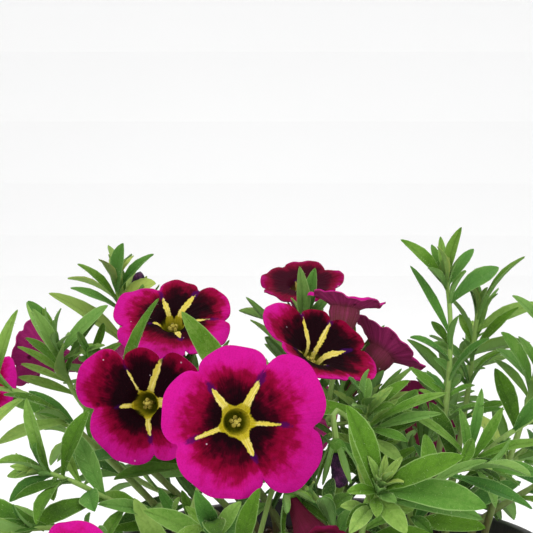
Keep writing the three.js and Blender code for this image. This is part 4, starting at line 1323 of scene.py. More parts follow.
@dataclass
class Calyx:
    """The green cup under a flower, with five long sepals, and the stalk that carries it."""

    throat: Triple
    facing: Triple
    start: Array
    seed: float
    stalk_radius: float = 0.55
    sepal_width: float = 1.9
    sepals: int = 5
    rib: float = 0.07
    sepal_foot: tuple[float, float] = (1.6, 0.4)
    stalk_flare: float = 0.35
    cup: Pairs = (
        (0.8, -CALYX_HEIGHT), (1.5, -1.9), (1.9, -1.1), (2.0, -0.2), (1.85, 0.7), (1.45, 0.7),
        (1.5, 0.0),
    )

    def grow(self, maker: Maker) -> None:
        """Adds the calyx and its stalk to a piece.

        Args:
            maker: the piece.
        """
        forward, right, up = bloom_ways(self.facing)
        seat = arr(self.throat) - forward * (TUBE_LENGTH + GAP)
        angles = spokes(2 * self.sepals)
        ribs = 1 + self.rib * np.cos(self.sepals * angles)
        rings = [hoop(seat + forward * height, radius * ribs, right, up, angles)
                 for radius, height in self.cup]
        maker.skin(seat - forward * (CALYX_HEIGHT + 0.3), rings, seat - forward * 0.05,
                   {"blade": arr((0, 0.4, 0.5)), "upper": np.array(0.6)})
        aside, below = self.sepal_foot
        for n, angle in enumerate(spokes(self.sepals)):
            out = right * math.cos(angle) + up * math.sin(angle)
            Leaf(
                root=seat + out * aside - forward * below,
                tip=seat + forward * SEPAL_REACH + out * SEPAL_SPREAD,
                width=self.sepal_width, face=forward, form=Form.SEPAL, seed=self.seed + n,
                arch=-0.05, thickness=0.3,
            ).grow(maker)
        stalk = Shoot([
            self.start, seat - forward * (CALYX_HEIGHT + STALK_LEAD),
            seat - forward * 0.5 * CALYX_HEIGHT,
        ])
        tube(maker, stalk, lambda share: self.stalk_radius * (1 + self.stalk_flare * share**3),
             sides=7, stretches=12, slot=1, age=(0.7, 1.0))


class Clearings:
    """Where no added leaf may grow: in flowers, before those that look forward, in windows.

    A window is a round gap between the leaves, as seen from the front: its place across and up
    on the upright plane through the pot's middle, and its radius.
    """

    WINDOWS = (
        (40.9, 116.7, 5.0), (43.2, 106.6, 5.5), (44.4, 99.5, 4.5), (32.7, 113.6, 4.0),
        (-42.2, 104.2, 4.5), (1.8, 104.2, 3.5), (-28.1, 103.8, 3.5), (-59.7, 119.5, 3.5),
    )
    MARGIN = 0.5
    PETAL_DEPTH = (-3.5, 9.0)
    PETAL_MARGIN = 1.2
    TUBE_RADIUS = 4.0
    SIGHT_SHARE = 0.96

    def __init__(self, camera: Array) -> None:
        """Takes the place that the object is looked at from."""
        self.camera = camera
        self.low, self.high = (arr(list(corner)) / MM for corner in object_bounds())

    def _in_flower(self, point: Array, name: str, plan: BloomPlan) -> bool:
        """Whether a point is in a flower, or before one that looks forward.

        Args:
            point: the point.
            name: the flower's name.
            plan: its plan.

        Returns:
            Whether it is.
        """
        forward = unit(plan.facing)
        apart = point - arr(plan.throat)
        height = np.dot(apart, forward)
        radius = np.linalg.norm(apart - forward * height)
        low, high = self.PETAL_DEPTH
        if low < height < high and radius < plan.radius + self.PETAL_MARGIN:
            return True
        if -TUBE_LENGTH < height <= low and radius < self.TUBE_RADIUS:
            return True
        sight = unit(self.camera - arr(plan.throat))
        depth = np.dot(apart, sight)
        beside = np.linalg.norm(apart - sight * depth)
        return name in FRONT_BLOOMS and depth > 0 and beside < self.SIGHT_SHARE * plan.radius

    def holds(self, point: Array) -> bool:
        """Whether a point is in a clearing or outside the solids' box.

        Args:
            point: the point.

        Returns:
            Whether it is.
        """
        if np.any(point < self.low - self.MARGIN) or np.any(point > self.high + self.MARGIN):
            return True
        seen = self.camera + (point - self.camera) * self.camera[1] / (self.camera[1] - point[1])
        if any(math.hypot(seen[0] - x, seen[2] - z) < radius for x, z, radius in self.WINDOWS):
            return True
        return any(self._in_flower(point, name, plan) for name, plan in BLOOMS.items())


@dataclass
class LeafyStem:
    """A stem that stands in the soil, with its leaves, and its flowers' stalks and calyces."""

    name: str
    plan: StemPlan
    number: int
    foot_radius: float = 1.05
    head_radius: float = 0.5
    knobs: float = 0.05
    narrow_fullness: float = 1.32
    broad_fullness: float = 1.04
    added: int = 8
    added_unplanned: int = 24
    few_planned: int = 3
    added_tuft: int = 9
    youth: float = 0.35
    tuft_foot: float = 0.955
    tuft_span: float = 0.04
    tuft_opening: tuple[float, float] = (0.15, 0.75)
    tuft_length: tuple[float, float] = (4.5, 9.0)
    added_at: tuple[float, float] = (0.34, 0.95)
    added_opening: tuple[float, float] = (0.7, 1.3)
    added_length: tuple[float, float] = (8.0, 16.0)
    tested: tuple[float, ...] = (0.35, 0.55, 0.8, 1.0)

    def __post_init__(self) -> None:
        """Lays the stem's curve."""
        foot = self.plan.foot
        self.shoot = Shoot([
            (*foot, SOIL_TOP - HOLE_DEPTH + GAP), (*foot, SOIL_TOP - 0.5 * HOLE_DEPTH),
            (*foot, SOIL_TOP + 7), *self.plan.way,
        ])

    def planned(self) -> list[tuple[float, Array, float, Form, bool]]:
        """The place, tip, width, form and youth of each leaf that the plan names."""
        return [(at, arr((x, y, z)), width, Form.NARROW if width < NARROW_LEAF else Form.BROAD, False)
                for at, x, y, z, width in self.plan.leaves]

    def by_rule(self) -> list[tuple[float, Array, float, Form, bool]]:
        """The same for the leaves spread along the stem in a spiral, and the tuft at its top.

        Returns:
            The leaves' places, tips, widths, forms and youth.
        """
        rows = []
        for n in range(self.plan.fill + self.plan.tuft):
            young = n >= self.plan.fill
            seed = 31 * self.number + n
            at = TUFT_AT if young else between(FILL_AT, n / max(self.plan.fill - 1, 1))
            opening = between(TUFT_OPENING if young else FILL_OPENING, draw(seed))
            length = between(TUFT_LENGTH if young else FILL_LENGTH, draw(seed + 0.5))
            turn = GOLDEN_ANGLE * n + self.number
            tip = spiral_tip(*self.shoot.chord(at), (0.3, 1, 0.2), turn, opening, length)
            rows.append((at, tip, 0.15 * length + 0.9, Form.NARROW, young))
        return rows

    def grown(self) -> list[Leaf]:
        """The leaves that the solid stem has, each with the tip that it was given there.

        Returns:
            The leaves.
        """
        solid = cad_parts[self.name].data.vertices
        corners = kdtree.KDTree(len(solid))
        for n, corner in enumerate(solid):
            corners.insert(corner.co / MM, n)
        corners.balance()
        leaves = []
        for n, (at, tip, width, form, young) in enumerate(self.planned() + self.by_rule()):
            start, growth = self.shoot.chord(at)
            tips = [start + (tip + arr(dodge) - start) * share
                    for share in SHORTER for dodge in DODGES]
            found = [place for place in tips if corners.find(Vector(place))[2] < TIP_SLACK]
            full = self.broad_fullness if form is Form.BROAD else self.narrow_fullness
            if found:
                leaves.append(Leaf(
                    self.shoot.at(at), found[0], width * full * self.plan.full,
                    growth if young else lit_way(growth, tip), form, self.number + 0.37 * n,
                    bright=self.plan.bright))
        return leaves

    def more(self, clearings: Clearings) -> list[Leaf]:
        """Small leaves between the grown ones, and a tighter tuft at the top.

        Args:
            clearings: where none may grow.

        Returns:
            The leaves.
        """
        leaves = []
        bare = len(self.plan.leaves) <= self.few_planned
        spread = (self.added_unplanned if bare else self.added) + self.plan.more
        for n in range(spread + self.added_tuft):
            tufted = n >= spread
            seed = 57.3 * self.number + 1.7 * n
            at = between(self.added_at, draw(seed))
            if tufted:
                at = self.tuft_foot + self.tuft_span * draw(seed)
            openings = self.tuft_opening if tufted else self.added_opening
            opening = between(openings, draw(seed + 1))
            length = between(
                self.tuft_length if tufted else self.added_length, draw(seed + 2))
            start, growth = self.shoot.at(at), self.shoot.way(at)
            turn = GOLDEN_ANGLE * n + 1.3
            tip = spiral_tip(start, growth, (0.2, 1, 0.4), turn, opening, length)
            broad = not tufted and draw(seed + 4) > 0.5
            leaf = Leaf(
                start, tip, (0.2 if broad else 0.16) * length + 0.7,
                growth if tufted else lit_way(growth, tip),
                Form.BROAD if broad else Form.NARROW, seed, thickness=0.26,
                bright=self.plan.bright + (self.youth if tufted else 0))
            if not any(clearings.holds(leaf.middle(share)) for share in self.tested):
                leaves.append(leaf)
        return leaves

    def piece(self, leaf: Material, bark: Material, clearings: Clearings) -> Thing:
        """Builds the stem with all that grows on it.

        Args:
            leaf: the leaves' material.
            bark: the stem's material.
            clearings: where no added leaf may grow.

        Returns:
            The piece.
        """
        maker = Maker(self.name.replace("stem", "leafy"), LEAF_LAYERS)
        size = (self.foot_radius, self.head_radius)
        tube(maker, self.shoot, lambda share: between(size, share) * (
            1 + self.knobs * math.sin(70 * share + self.number)), sides=10, stretches=40, slot=1)
        for blade in self.grown() + self.more(clearings):
            blade.grow(maker)
        for n, plan in enumerate([*BLOOMS.values(), *BUDS.values()]):
            if plan.stem == self.name:
                start, _ = self.shoot.chord(plan.start)
                Calyx(plan.throat, plan.facing, start, 11.0 * n + 2).grow(maker)
        return settle(maker.piece(leaf, bark), "foliage", self.name)


# ---- flowers

PETAL_LAYERS = dict.fromkeys(
    ("tone", "star", "violet", "out", "depth", "back", "age", "dusk"), 1) | {"grain": 3}
OUTSIDE = -9.0  # deep outside a marking


@dataclass
class Flower:
    """An open flower: a slim tube that flares into five joined petals."""

    name: str
    plan: BloomPlan
    number: int
    petal_thickness: float = 0.32
    floor_depth: float = 6.2
    inside: Pairs = (
        (1.0, 5.8), (1.5, 5.0), (1.95, 4.0), (2.3, 3.0), (2.55, 2.1), (2.75, 1.3), (2.9, 0.7),
    )
    top: tuple[float, ...] = (
        0.0, 0.03, 0.07, 0.12, 0.18, 0.25, 0.32, 0.39, 0.46, 0.53, 0.6, 0.67, 0.74, 0.81,
        0.87, 0.92, 0.96, 0.985, 1.0,
    )
    under: tuple[float, ...] = (1.0, 0.97, 0.9, 0.8, 0.68, 0.55, 0.42, 0.3, 0.19, 0.1)
    tube: Pairs = (
        (3.75, 1.9), (3.45, 3.0), (3.0, 4.6), (2.5, 6.6), (2.0, 9.0), (1.6, 11.4),
        (1.32, 13.2), (TUBE_FOOT_RADIUS, TUBE_LENGTH),
    )
    arm_start: float = 2.4
    ripples: tuple[float, float] = (0.42, 0.12)
    curl_start: float = 0.8
    curls: tuple[float, float] = (0.45, 0.35)
    lip: float = 0.9
    lip_end: float = 0.14
    furrow: float = 0.06
    rib: float = 0.035

    def __post_init__(self) -> None:
        """Works out the flower's ways and, column by column, its outline."""
        self.forward, self.right, self.up = bloom_ways(self.plan.facing)
        self.throat = arr(self.plan.throat)
        self.angles = spokes(self.plan.columns)
        rows = [self._column(math.degrees(angle)) for angle in self.angles]
        self.reach, self.bulge, self.dark = np.array(rows).T

    def _column(self, angle: float) -> tuple[float, float, float]:
        """One column of the petals.

        Args:
            angle: its angle in degrees.

        Returns:
            Its reach as a share of the radius, its bulge forward from 0 at a seam to 1, and how
            far out it is dark.
        """
        plan = self.plan
        seams = len(plan.seams)
        for petal, seam in enumerate(plan.seams):
            following = (petal + 1) % seams
            share = ((seam - angle) % 360) / ((seam - plan.seams[following]) % 360)
            if share < 1:
                near = petal - 1 if share < 0.5 else following
                lobe, dark = plan.lobes[petal], plan.dark[petal]
                notch = PETAL_NOTCH * min(lobe, plan.lobes[near])
                rise = (1 - abs(2 * share - 1) ** 2.5) ** 0.42
                uneven = 0.012 * math.sin(0.21 * angle + self.number) * math.sin(math.pi * share)
                ease = 0.5 - 0.5 * math.cos(2 * math.pi * share)
                seam_dark = 0.5 * (dark + plan.dark[near]) + 0.05
                return (
                    notch + (lobe - notch) * rise + uneven, math.sin(math.pi * share) ** 0.5,
                    seam_dark + (dark - seam_dark) * ease**0.6,
                )
        raise ValueError("the petals leave a gap")

    def _limb(self, share: float, lift: float) -> tuple[Array, Array]:
        """The radius and height of a ring across the petals.

        Args:
            share: how far out the ring is.
            lift: how far forward of the petals' middle it is.

        Returns:
            The radius and the height of each column.
        """
        turns, number = self.angles, self.number
        radius = THROAT_RADIUS + (self.plan.radius * self.reach - THROAT_RADIUS) * share
        height = (self.plan.cup + PETAL_WAVE * (self.bulge - 0.5)) * share + lift
        coarse, fine = self.ripples
        ripple = coarse * np.sin(7 * turns + number) + fine * np.sin(19 * turns + 2 * number)
        height = height + ripple * share**3 * self.bulge
        curl = max(share - self.curl_start, 0) / (1 - self.curl_start)
        least, more = self.curls
        height = height - (least + more * np.sin(3 * turns + number)) * curl**2
        height = height - self.lip * max(1 - share / self.lip_end, 0) ** 2
        furrow = self.furrow * np.sin(30 * turns + number) * math.sin(math.pi * share)
        return radius, height + furrow

    def _masks(self, radius: Array) -> tuple[Array, Array]:
        """How deep each point lies in the yellow arms, and in the violet smears at their ends.

        Args:
            radius: the points' distance from the axis.

        Returns:
            Both depths, negative outside.
        """
        star = np.full(radius.shape, OUTSIDE)
        violet = np.full(radius.shape, OUTSIDE)
        for seam, (length, half) in zip(self.plan.seams, self.plan.arms):
            apart = self.angles - math.radians(seam)
            along = radius * np.cos(apart)
            across = np.abs(radius * np.sin(apart))
            share = (along - self.arm_start) / (length * self.plan.radius - self.arm_start)
            taper = np.clip((1 - share) / 0.6, 0, 1) ** 0.5
            waist = 0.98 + 0.12 * np.cos(7 * np.clip(share, 0, 1) + self.number)
            arm = half * taper * waist - across - np.where(share > 1, 4 * (share - 1), 0)
            star = np.maximum(star, np.where(along > 0, arm, OUTSIDE))
            smear = np.clip(1 - np.abs(share - 1.05) / 0.38, 0, 1) ** 0.6
            mark = (0.8 * half + 0.25) * smear - across
            violet = np.maximum(violet, np.where((along > 0) & (smear > 0), mark, OUTSIDE))
        return star, violet

    def piece(self, finish: Material) -> Thing:
        """Builds the flower.

        Args:
            finish: the petals' material.

        Returns:
            The piece.
        """
        plan = self.plan
        every = np.ones(plan.columns)
        ribs = 1 + self.rib * np.cos(5 * self.angles + 1)
        half = 0.5 * self.petal_thickness
        rows = [(radius * every, -depth * every, 0.0, depth, 0.0) for radius, depth in self.inside]
        rows += [(*self._limb(share, half), share, 0.0, 0.0) for share in self.top]
        rows += [(*self._limb(share, -half * (1 + 3 * (1 - share) ** 3)), share, 0.0, 1.0)
                 for share in self.under]
        rows += [(radius * ribs, -depth * every, 0.0, 0.0, 1.0) for radius, depth in self.tube]
        values = {layer: np.zeros((len(rows), plan.columns, size))
                  for layer, size in PETAL_LAYERS.items()}
        rings = []
        for n, (radius, height, share, depth, back) in enumerate(rows):
            centres = self.throat + height[:, None] * self.forward
            rings.append(hoop(centres, radius, self.right, self.up, self.angles))
            star, violet = self._masks(radius)
            marks = {
                "tone": 0.5 + share - self.dark, "star": star, "violet": violet,
                "out": radius / plan.ring, "depth": depth, "back": back,
                "age": plan.age.value, "dusk": plan.dusk,
            }
            for layer, value in marks.items():
                values[layer][n, :, 0] = value
            streak = (share + self.number + 0.3 * depth) * every
            values["grain"][n] = np.stack([np.cos(self.angles), np.sin(self.angles), streak], -1)
        maker = Maker(self.name.replace("bloom", "flower"), PETAL_LAYERS)
        maker.skin(
            self.throat - self.forward * self.floor_depth, rings,
            self.throat - self.forward * TUBE_LENGTH, values)
        return settle(maker.piece(finish), "petals", self.name)


@dataclass
class Pollen:
    """The anthers and stigma in a flower's throat, on a slim column."""

    name: str
    plan: BloomPlan
    heads: int = 5
    head_radius: float = 0.62
    ring_radius: float = 0.85
    head_length: float = 1.25
    cleft: float = 0.2
    first_turn: float = 0.4
    stagger: float = 0.25
    splay: float = 0.7
    flatness: float = 0.8
    tilts: tuple[float, ...] = (0.35, 0.9, 1.45, 2.0, 2.6)

    def piece(self, finish: Material) -> Thing:
        """Builds them.

        Args:
            finish: the pollen's material.

        Returns:
            The piece.
        """
        forward, right, up = bloom_ways(self.plan.facing)
        throat = arr(self.plan.throat)
        maker = Maker(self.name.replace("anthers", "pollen"), LEAF_LAYERS)
        depths = (COLUMN_DEPTH, 0.5 * (COLUMN_DEPTH + ANTHER_DEPTH), ANTHER_DEPTH - 0.6)
        column = Shoot([throat - forward * depth for depth in depths])
        tube(maker, column, lambda share: 0.3 + 0.25 * share**4, sides=8, stretches=10, slot=0)
        around = spokes(8)
        for head, angle in enumerate(spokes(self.heads) + self.first_turn):
            away = right * math.cos(angle) + up * math.sin(angle)
            depth = ANTHER_DEPTH + self.stagger * (head % 3)
            middle = throat - forward * depth + away * self.ring_radius
            long_way = unit(forward + away * self.splay * (draw(head) - 0.3))
            first = unit(np.cross(long_way, away))
            second = self.flatness * np.cross(long_way, first)
            reach = long_way * self.head_length * self.head_radius
            girth = self.head_radius * (1 - self.cleft * np.cos(around) ** 2)
            rings = [
                hoop(middle - reach * math.cos(tilt), girth * math.sin(tilt), first, second, around)
                for tilt in self.tilts
            ]
            maker.skin(middle - reach, rings, middle + reach)
        return settle(maker.piece(finish), "anthers", self.name)


@dataclass
class ClosedFlower:
    """A flower not yet open, or one withered and hanging: furled petals in a twisted cone."""

    name: str
    plan: BudPlan
    number: int
    columns: int = 30
    steps: int = 22
    furls: int = 5
    twist: float = 1.6
    furl_depth: tuple[float, float] = (0.1, 0.12)
    crumple: float = 0.35
    girth: tuple[tuple[float, ...], ...] = (
        (0, 0.12, 0.5, 0.8, 0.93, 1.0), (0.62, 0.7, 0.85, 1, 0.66, 0.1),
    )

    def middle(self, share: float) -> Array:
        """A point on its axis, which hangs aside if the flower is withered.

        Args:
            share: how far along, from 0 to 1.

        Returns:
            The point.
        """
        forward, right, _ = bloom_ways(self.plan.facing)
        sag = self.plan.ragged * 0.5 * math.sin(2.4 * share)
        out = self.plan.length * share - TUBE_LENGTH
        return arr(self.plan.throat) + forward * out + right * sag

    def piece(self, finish: Material) -> Thing:
        """Builds it.

        Args:
            finish: its material.

        Returns:
            The piece.
        """
        plan = self.plan
        _, right, up = bloom_ways(plan.facing)
        angles = spokes(self.columns)
        furled, withered = self.furl_depth
        rings = []
        for share in np.linspace(0, 1, self.steps)[:-1]:
            turn = angles + self.twist * share
            furl = 1 + (furled + withered * plan.ragged) * share * np.cos(self.furls * turn)
            crumple = np.array([
                noise.noise((2 * math.cos(a), 2 * math.sin(a), 5 * share + self.number))
                for a in turn])
            size = plan.radius * np.interp(share, *self.girth) * furl * (
                1 + self.crumple * plan.ragged * crumple)
            rings.append(hoop(self.middle(share), size, right, up, angles))
        maker = Maker(self.name.replace("bud", "closed"))
        maker.skin(self.middle(0), rings, self.middle(1))
        slot = "withered_petals" if plan.ragged else "petals"
        return settle(maker.piece(finish), slot, self.name)


# ---- pot and soil

ACROSS, BACK, UP = np.eye(3)
BAND_FOOT = POT_HEIGHT - RIM_BAND


def wall_radius(height: float) -> float:
    """The pot's outer radius at a height, without its rim band."""
    return between((POT_FOOT_RADIUS, POT_RIM_RADIUS - RIM_STEP - 1), height / POT_HEIGHT)


@dataclass
class Pot:
    """A round nursery pot: a tapered wall, a stiffer band under the rim and drain holes."""

    columns: int = 160
    hole_sides: int = 36

    def profile(self) -> list[tuple[float, float]]:
        """Its section from under the floor's middle, up the outside and down the inside.

        Returns:
            The radius and height of each of its rings.
        """
        foot, rim, top = POT_FOOT_RADIUS, POT_RIM_RADIUS, POT_HEIGHT
        wall = wall_radius(BAND_FOOT)
        band = wall + RIM_STEP
        outside = [(foot - 4, 0.0), (foot - 1.6, 0.0), (foot - 0.6, 0.35), (foot, 1.5)]
        outside += [(wall_radius(height), height) for height in (12, 24, 36, 48, 60, 70)]
        lip = [
            (wall, BAND_FOOT - 1.0), (wall + 0.3, BAND_FOOT - 0.5),
            (band - 0.25, BAND_FOOT - 0.15), (band, BAND_FOOT + 0.3), (rim - 1.1, top - 1.9),
            (rim - 0.75, top - 1.5), (rim - 0.15, top - 1.15), (rim, top - 0.8),
            (rim - 0.1, top - 0.2), (rim - 0.4, top), (rim - 2.1, top), (rim - 2.5, top - 0.3),
        ]
        inside = [
            (band - POT_WALL, BAND_FOOT + 1.2), (wall - POT_WALL + 0.2, BAND_FOOT + 0.5),
            (wall - POT_WALL, BAND_FOOT), (wall_radius(40) - POT_WALL, 40.0),
            (foot - POT_WALL, POT_FLOOR + 0.8), (foot - POT_WALL - 0.8, POT_FLOOR),
        ]
        return outside + lip + inside

    def _drain_cutter(self) -> Thing:
        """The drain holes, as solid rods that are cut out of the floor.

        Returns:
            The rods.
        """
        cutter = bmesh.new()
        for angle in spokes(DRAIN_HOLES):
            rod = bmesh.ops.create_cone(
                cutter, cap_ends=True, segments=self.hole_sides, depth=4 * POT_FLOOR * MM,
                radius1=DRAIN_RADIUS * MM, radius2=DRAIN_RADIUS * MM)
            place = (DRAIN_RING * math.cos(angle) * MM, DRAIN_RING * math.sin(angle) * MM, 0)
            bmesh.ops.translate(cutter, verts=rod["verts"], vec=place)
        return draft("drain_cutter", cutter)

    def piece(self, finish: Material) -> Thing:
        """Builds the pot.

        Args:
            finish: its material.

        Returns:
            The piece.
        """
        rings = [hoop(UP * height, radius, ACROSS, BACK, spokes(self.columns))
                 for radius, height in self.profile()]
        maker = Maker("whole_pot")
        maker.skin(UP * 0, rings, UP * POT_FLOOR)
        blank = maker.piece(finish)
        cut = blank.modifiers.new("drains", "BOOLEAN")
        cut.operation = "DIFFERENCE"
        cut.solver = "EXACT"
        cutter = self._drain_cutter()
        cut.object = cutter
        pot = plain_copy(blank, "moulded_pot")
        bpy.data.objects.remove(cutter)
        pot.data.set_sharp_from_angle(angle=SHARP_EDGE)
        return settle(pot, "pot_plastic", "pot")


@dataclass
class Soil:
    """Potting soil that fills the pot, uneven on top, with a dip round each stem."""

    columns: int = 140
    steps: int = 46
    gap: float = 0.4
    edge_fall: float = 0.6
    lump_height: float = 0.7
    lump_grain: float = 0.16
    dip_depth: float = 0.5
    dip_spread: float = 5.0
    sheet_cells: int = 60
    sheet_margin: float = 1.5

    def __post_init__(self) -> None:
        """Works out how wide the soil is."""
        self.wall = wall_radius(BAND_FOOT) - POT_WALL - self.gap
        self.shoulder = self.wall + RIM_STEP

    def height(self, x: float, y: float) -> float:
        """The soil's height at a place.

        Args:
            x: the place across the pot.
            y: the place from its front to its back.

        Returns:
            The height.
        """
        far = math.hypot(x, y) / self.shoulder
        rise = SOIL_RISE * (1 - far**2) - self.edge_fall * far**8
        grain = self.lump_grain
        lumps = self.lump_height * noise.fractal((grain * x, grain * y, 3.0), 0.7, 2.1, 4)
        feet = [plan.foot for plan in STEMS.values()]
        dip = sum(math.exp(-((x - foot[0]) ** 2 + (y - foot[1]) ** 2) / self.dip_spread)
                  for foot in feet)
        return SOIL_TOP + rise + lumps - self.dip_depth * dip

    def piece(self, finish: Material) -> Thing:
        """Builds the soil.

        Args:
            finish: its material.

        Returns:
            The piece.
        """
        angles = spokes(self.columns)
        sides = (
            (POT_FOOT_RADIUS - POT_WALL - self.gap, POT_FLOOR + GAP),
            (self.wall, BAND_FOOT + 0.7), (self.shoulder, BAND_FOOT + 1.8),
        )
        rings = [hoop(UP * height, radius, ACROSS, BACK, angles) for radius, height in sides]
        for n in range(self.steps):
            ring = hoop(UP * 0, self.shoulder * (1 - n / self.steps), ACROSS, BACK, angles)
            ring[:, 2] = [self.height(x, y) for x, y, _ in ring]
            rings.append(ring)
        maker = Maker("potting_soil")
        maker.skin(UP * (POT_FLOOR + GAP), rings, UP * self.height(0, 0))
        return settle(maker.piece(finish), "soil", "soil")

    def surface(self) -> Thing:
        """An open sheet on the soil's top, for scattering on.

        Returns:
            The sheet.
        """
        sheet = bmesh.new()
        reach = self.shoulder - self.sheet_margin
        grid = {}
        for i in range(self.sheet_cells + 1):
            for j in range(self.sheet_cells + 1):
                x, y = (2 * n / self.sheet_cells * reach - reach for n in (i, j))
                if math.hypot(x, y) < reach:
                    grid[i, j] = sheet.verts.new((x * MM, y * MM, self.height(x, y) * MM))
        for i, j in grid:
            corners = [(i, j), (i + 1, j), (i + 1, j + 1), (i, j + 1)]
            if all(corner in grid for corner in corners):
                sheet.faces.new([grid[corner] for corner in corners])
        return draft("soil_sheet", sheet)


# ---- what is strewn

# name, finish, seed, lumps on a square millimetre, least and greatest radius, length for width
LUMPS = (
    ("soil_crumbs", "earth", 3, 0.2, 0.35, 1.1, 1.2),
    ("bark_chips", "bark", 7, 0.022, 0.6, 1.5, 2.2),
    ("perlite_grit", "grit", 11, 0.012, 0.4, 1.0, 1.1),
)
LUMP_ROUGHNESS = 0.9  # how far a lump is pushed out of round, as a share of the least radius
# hairs on a square metre, how many times more on leaf margins, radius at the foot, and lengths
HAIR_SIZES = {
    "Density": 0.13 / MM**2, "Margin": 9.0, "Thickness": 0.032 * MM, "Shortest": 0.3 * MM,
    "Longest": 0.8 * MM,
}


class Strewer:
    """A geometry node tree that sets one small shape many times on a surface, as real mesh."""

    NAME = ""
    SIZES: tuple[str, ...] = ()

    def __init__(self) -> None:
        """Makes the tree, with its sizes as named inputs."""
        self.taken = start_group(self.NAME, "Geometry", "Geometry", {
            "Geometry": "Geometry", **dict.fromkeys(self.SIZES, 0.0), "Seed": "Int",
            "Material": "Material"})
        self.board = self.taken.board
        dressed = {"Geometry": self.shapes(), "Material": self.taken["Material"]}
        self.tree = self.board.give(self.board.add("GeometryNodeSetMaterial", dressed))

    def shapes(self) -> Wire:
        """The shapes, standing where they belong."""
        raise NotImplementedError

    def points(self, density: Wire) -> Wire:
        """Points strewn over the surface, whose Rotation stands them upright on it."""
        spread = {"Mesh": self.taken, "Density": density, "Seed": self.taken["Seed"]}
        return self.board.add("GeometryNodeDistributePointsOnFaces", spread, "Points")

    def chance(self, low: Wire, high: Wire) -> Wire:
        """A random number between two, for each point."""
        ends = {2: low, 3: high, "Seed": self.taken["Seed"]}
        return self.board.add("FunctionNodeRandomValue", ends, 1, data_type="FLOAT")

    def angles(self, low: float, high: float) -> Wire:
        """Three random angles, for each point."""
        ends = {0: (low,) * 3, 1: (high,) * 3, "Seed": self.taken["Seed"]}
        return self.board.add("FunctionNodeRandomValue", ends, data_type="FLOAT_VECTOR")

    def stand(self, points: Wire, shape: Wire, rotation: Wire, scale: Wire) -> Wire:
        """Puts the shape on each point.

        Args:
            points: the points.
            shape: the shape.
            rotation: how it is turned at each.
            scale: its three sizes at each.

        Returns:
            The shapes, as real mesh.
        """
        laid = self.board.add("GeometryNodeInstanceOnPoints", {
            "Points": points, "Instance": shape, "Rotation": rotation, "Scale": scale})
        return self.board.add("GeometryNodeRealizeInstances", {0: laid})

    def piece(self, base: Thing, name: str, slot: str, **inputs: object) -> Thing:
        """Strews the shapes over a surface, which is used up.

        Args:
            base: the surface.
            name: the piece's name.
            slot: handed on to settle, which does not use it.
            inputs: the tree's inputs by name.

        Returns:
            The piece.
        """
        modifier = base.modifiers.new(self.NAME, "NODES")
        modifier.node_group = self.tree
        for item in self.tree.interface.items_tree:
            if item.in_out == "INPUT" and item.name in inputs:
                modifier[item.identifier] = inputs[item.name]
        return settle(plain_copy(base, name), slot)


class Lumps(Strewer):
    """Strews rough lumps over the soil: crumbs, bark and grit."""

    NAME = "strew_lumps"
    SIZES = ("Density", "Smallest", "Largest", "Stretch", "Roughness")
    FLATNESS = 0.75
    LUMP_GRAIN = 900.0
    FULL_TURN = 6.28

    def shapes(self) -> Wire:
        """The lumps, each turned at random and pushed out of round.

        Returns:
            Their mesh.
        """
        board, taken = self.board, self.taken
        size = self.chance(taken["Smallest"], taken["Largest"])
        ball = board.add("GeometryNodeMeshIcoSphere", {"Radius": 1.0, "Subdivisions": 1}, "Mesh")
        sizes = board.joined(size * taken["Stretch"], size, size * self.FLATNESS)
        turns = self.angles(0.0, self.FULL_TURN)
        lumps = self.stand(self.points(taken["Density"]), ball, turns, sizes)
        where = board.add("GeometryNodeInputPosition")
        rough = {"Vector": where, "Scale": self.LUMP_GRAIN, "Detail": 1.0}
        rough = board.vector("SUBTRACT", board.add("TexNoise", rough, "Color"), (0.5, 0.5, 0.5))
        push = board.add("VectorMath", {0: rough, "Scale": taken["Roughness"]}, operation="SCALE")
        return board.add("GeometryNodeSetPosition", {"Geometry": lumps, "Offset": push})


class Hairs(Strewer):
    """Stands fine hairs on a leafy stem, each a slim closed cone, densest on leaf margins."""

    NAME = "stand_hairs"
    SIZES = ("Density", "Margin", "Thickness", "Shortest", "Longest")
    MARGIN_FROM = 0.78
    LEAN = 0.6

    def shapes(self) -> Wire:
        """The hairs, each leaning a little at random.

        Returns:
            Their mesh.
        """
        board, taken = self.board, self.taken
        blade = board.add(
            "GeometryNodeInputNamedAttribute", {"Name": "blade"}, data_type="FLOAT_VECTOR")
        across = board.maths("ABSOLUTE", board.parts(blade)[0])
        margin = board.maths("GREATER_THAN", across, self.MARGIN_FROM)
        points = self.points(taken["Density"] * (margin * taken["Margin"] + 1.0))
        hair = {"Vertices": 3, "Radius Top": 0.0, "Radius Bottom": 1.0, "Depth": 1.0}
        upright, lean = points["Rotation"], self.angles(-self.LEAN, self.LEAN)
        turn = board.add("FunctionNodeRotateRotation", {0: upright, 1: lean}, rotation_space="LOCAL")
        thickness = taken["Thickness"]
        length = self.chance(taken["Shortest"], taken["Longest"])
        return self.stand(
            points, board.add("GeometryNodeMeshCone", hair, "Mesh"), turn,
            board.joined(thickness, thickness, length))


# ---- the stage


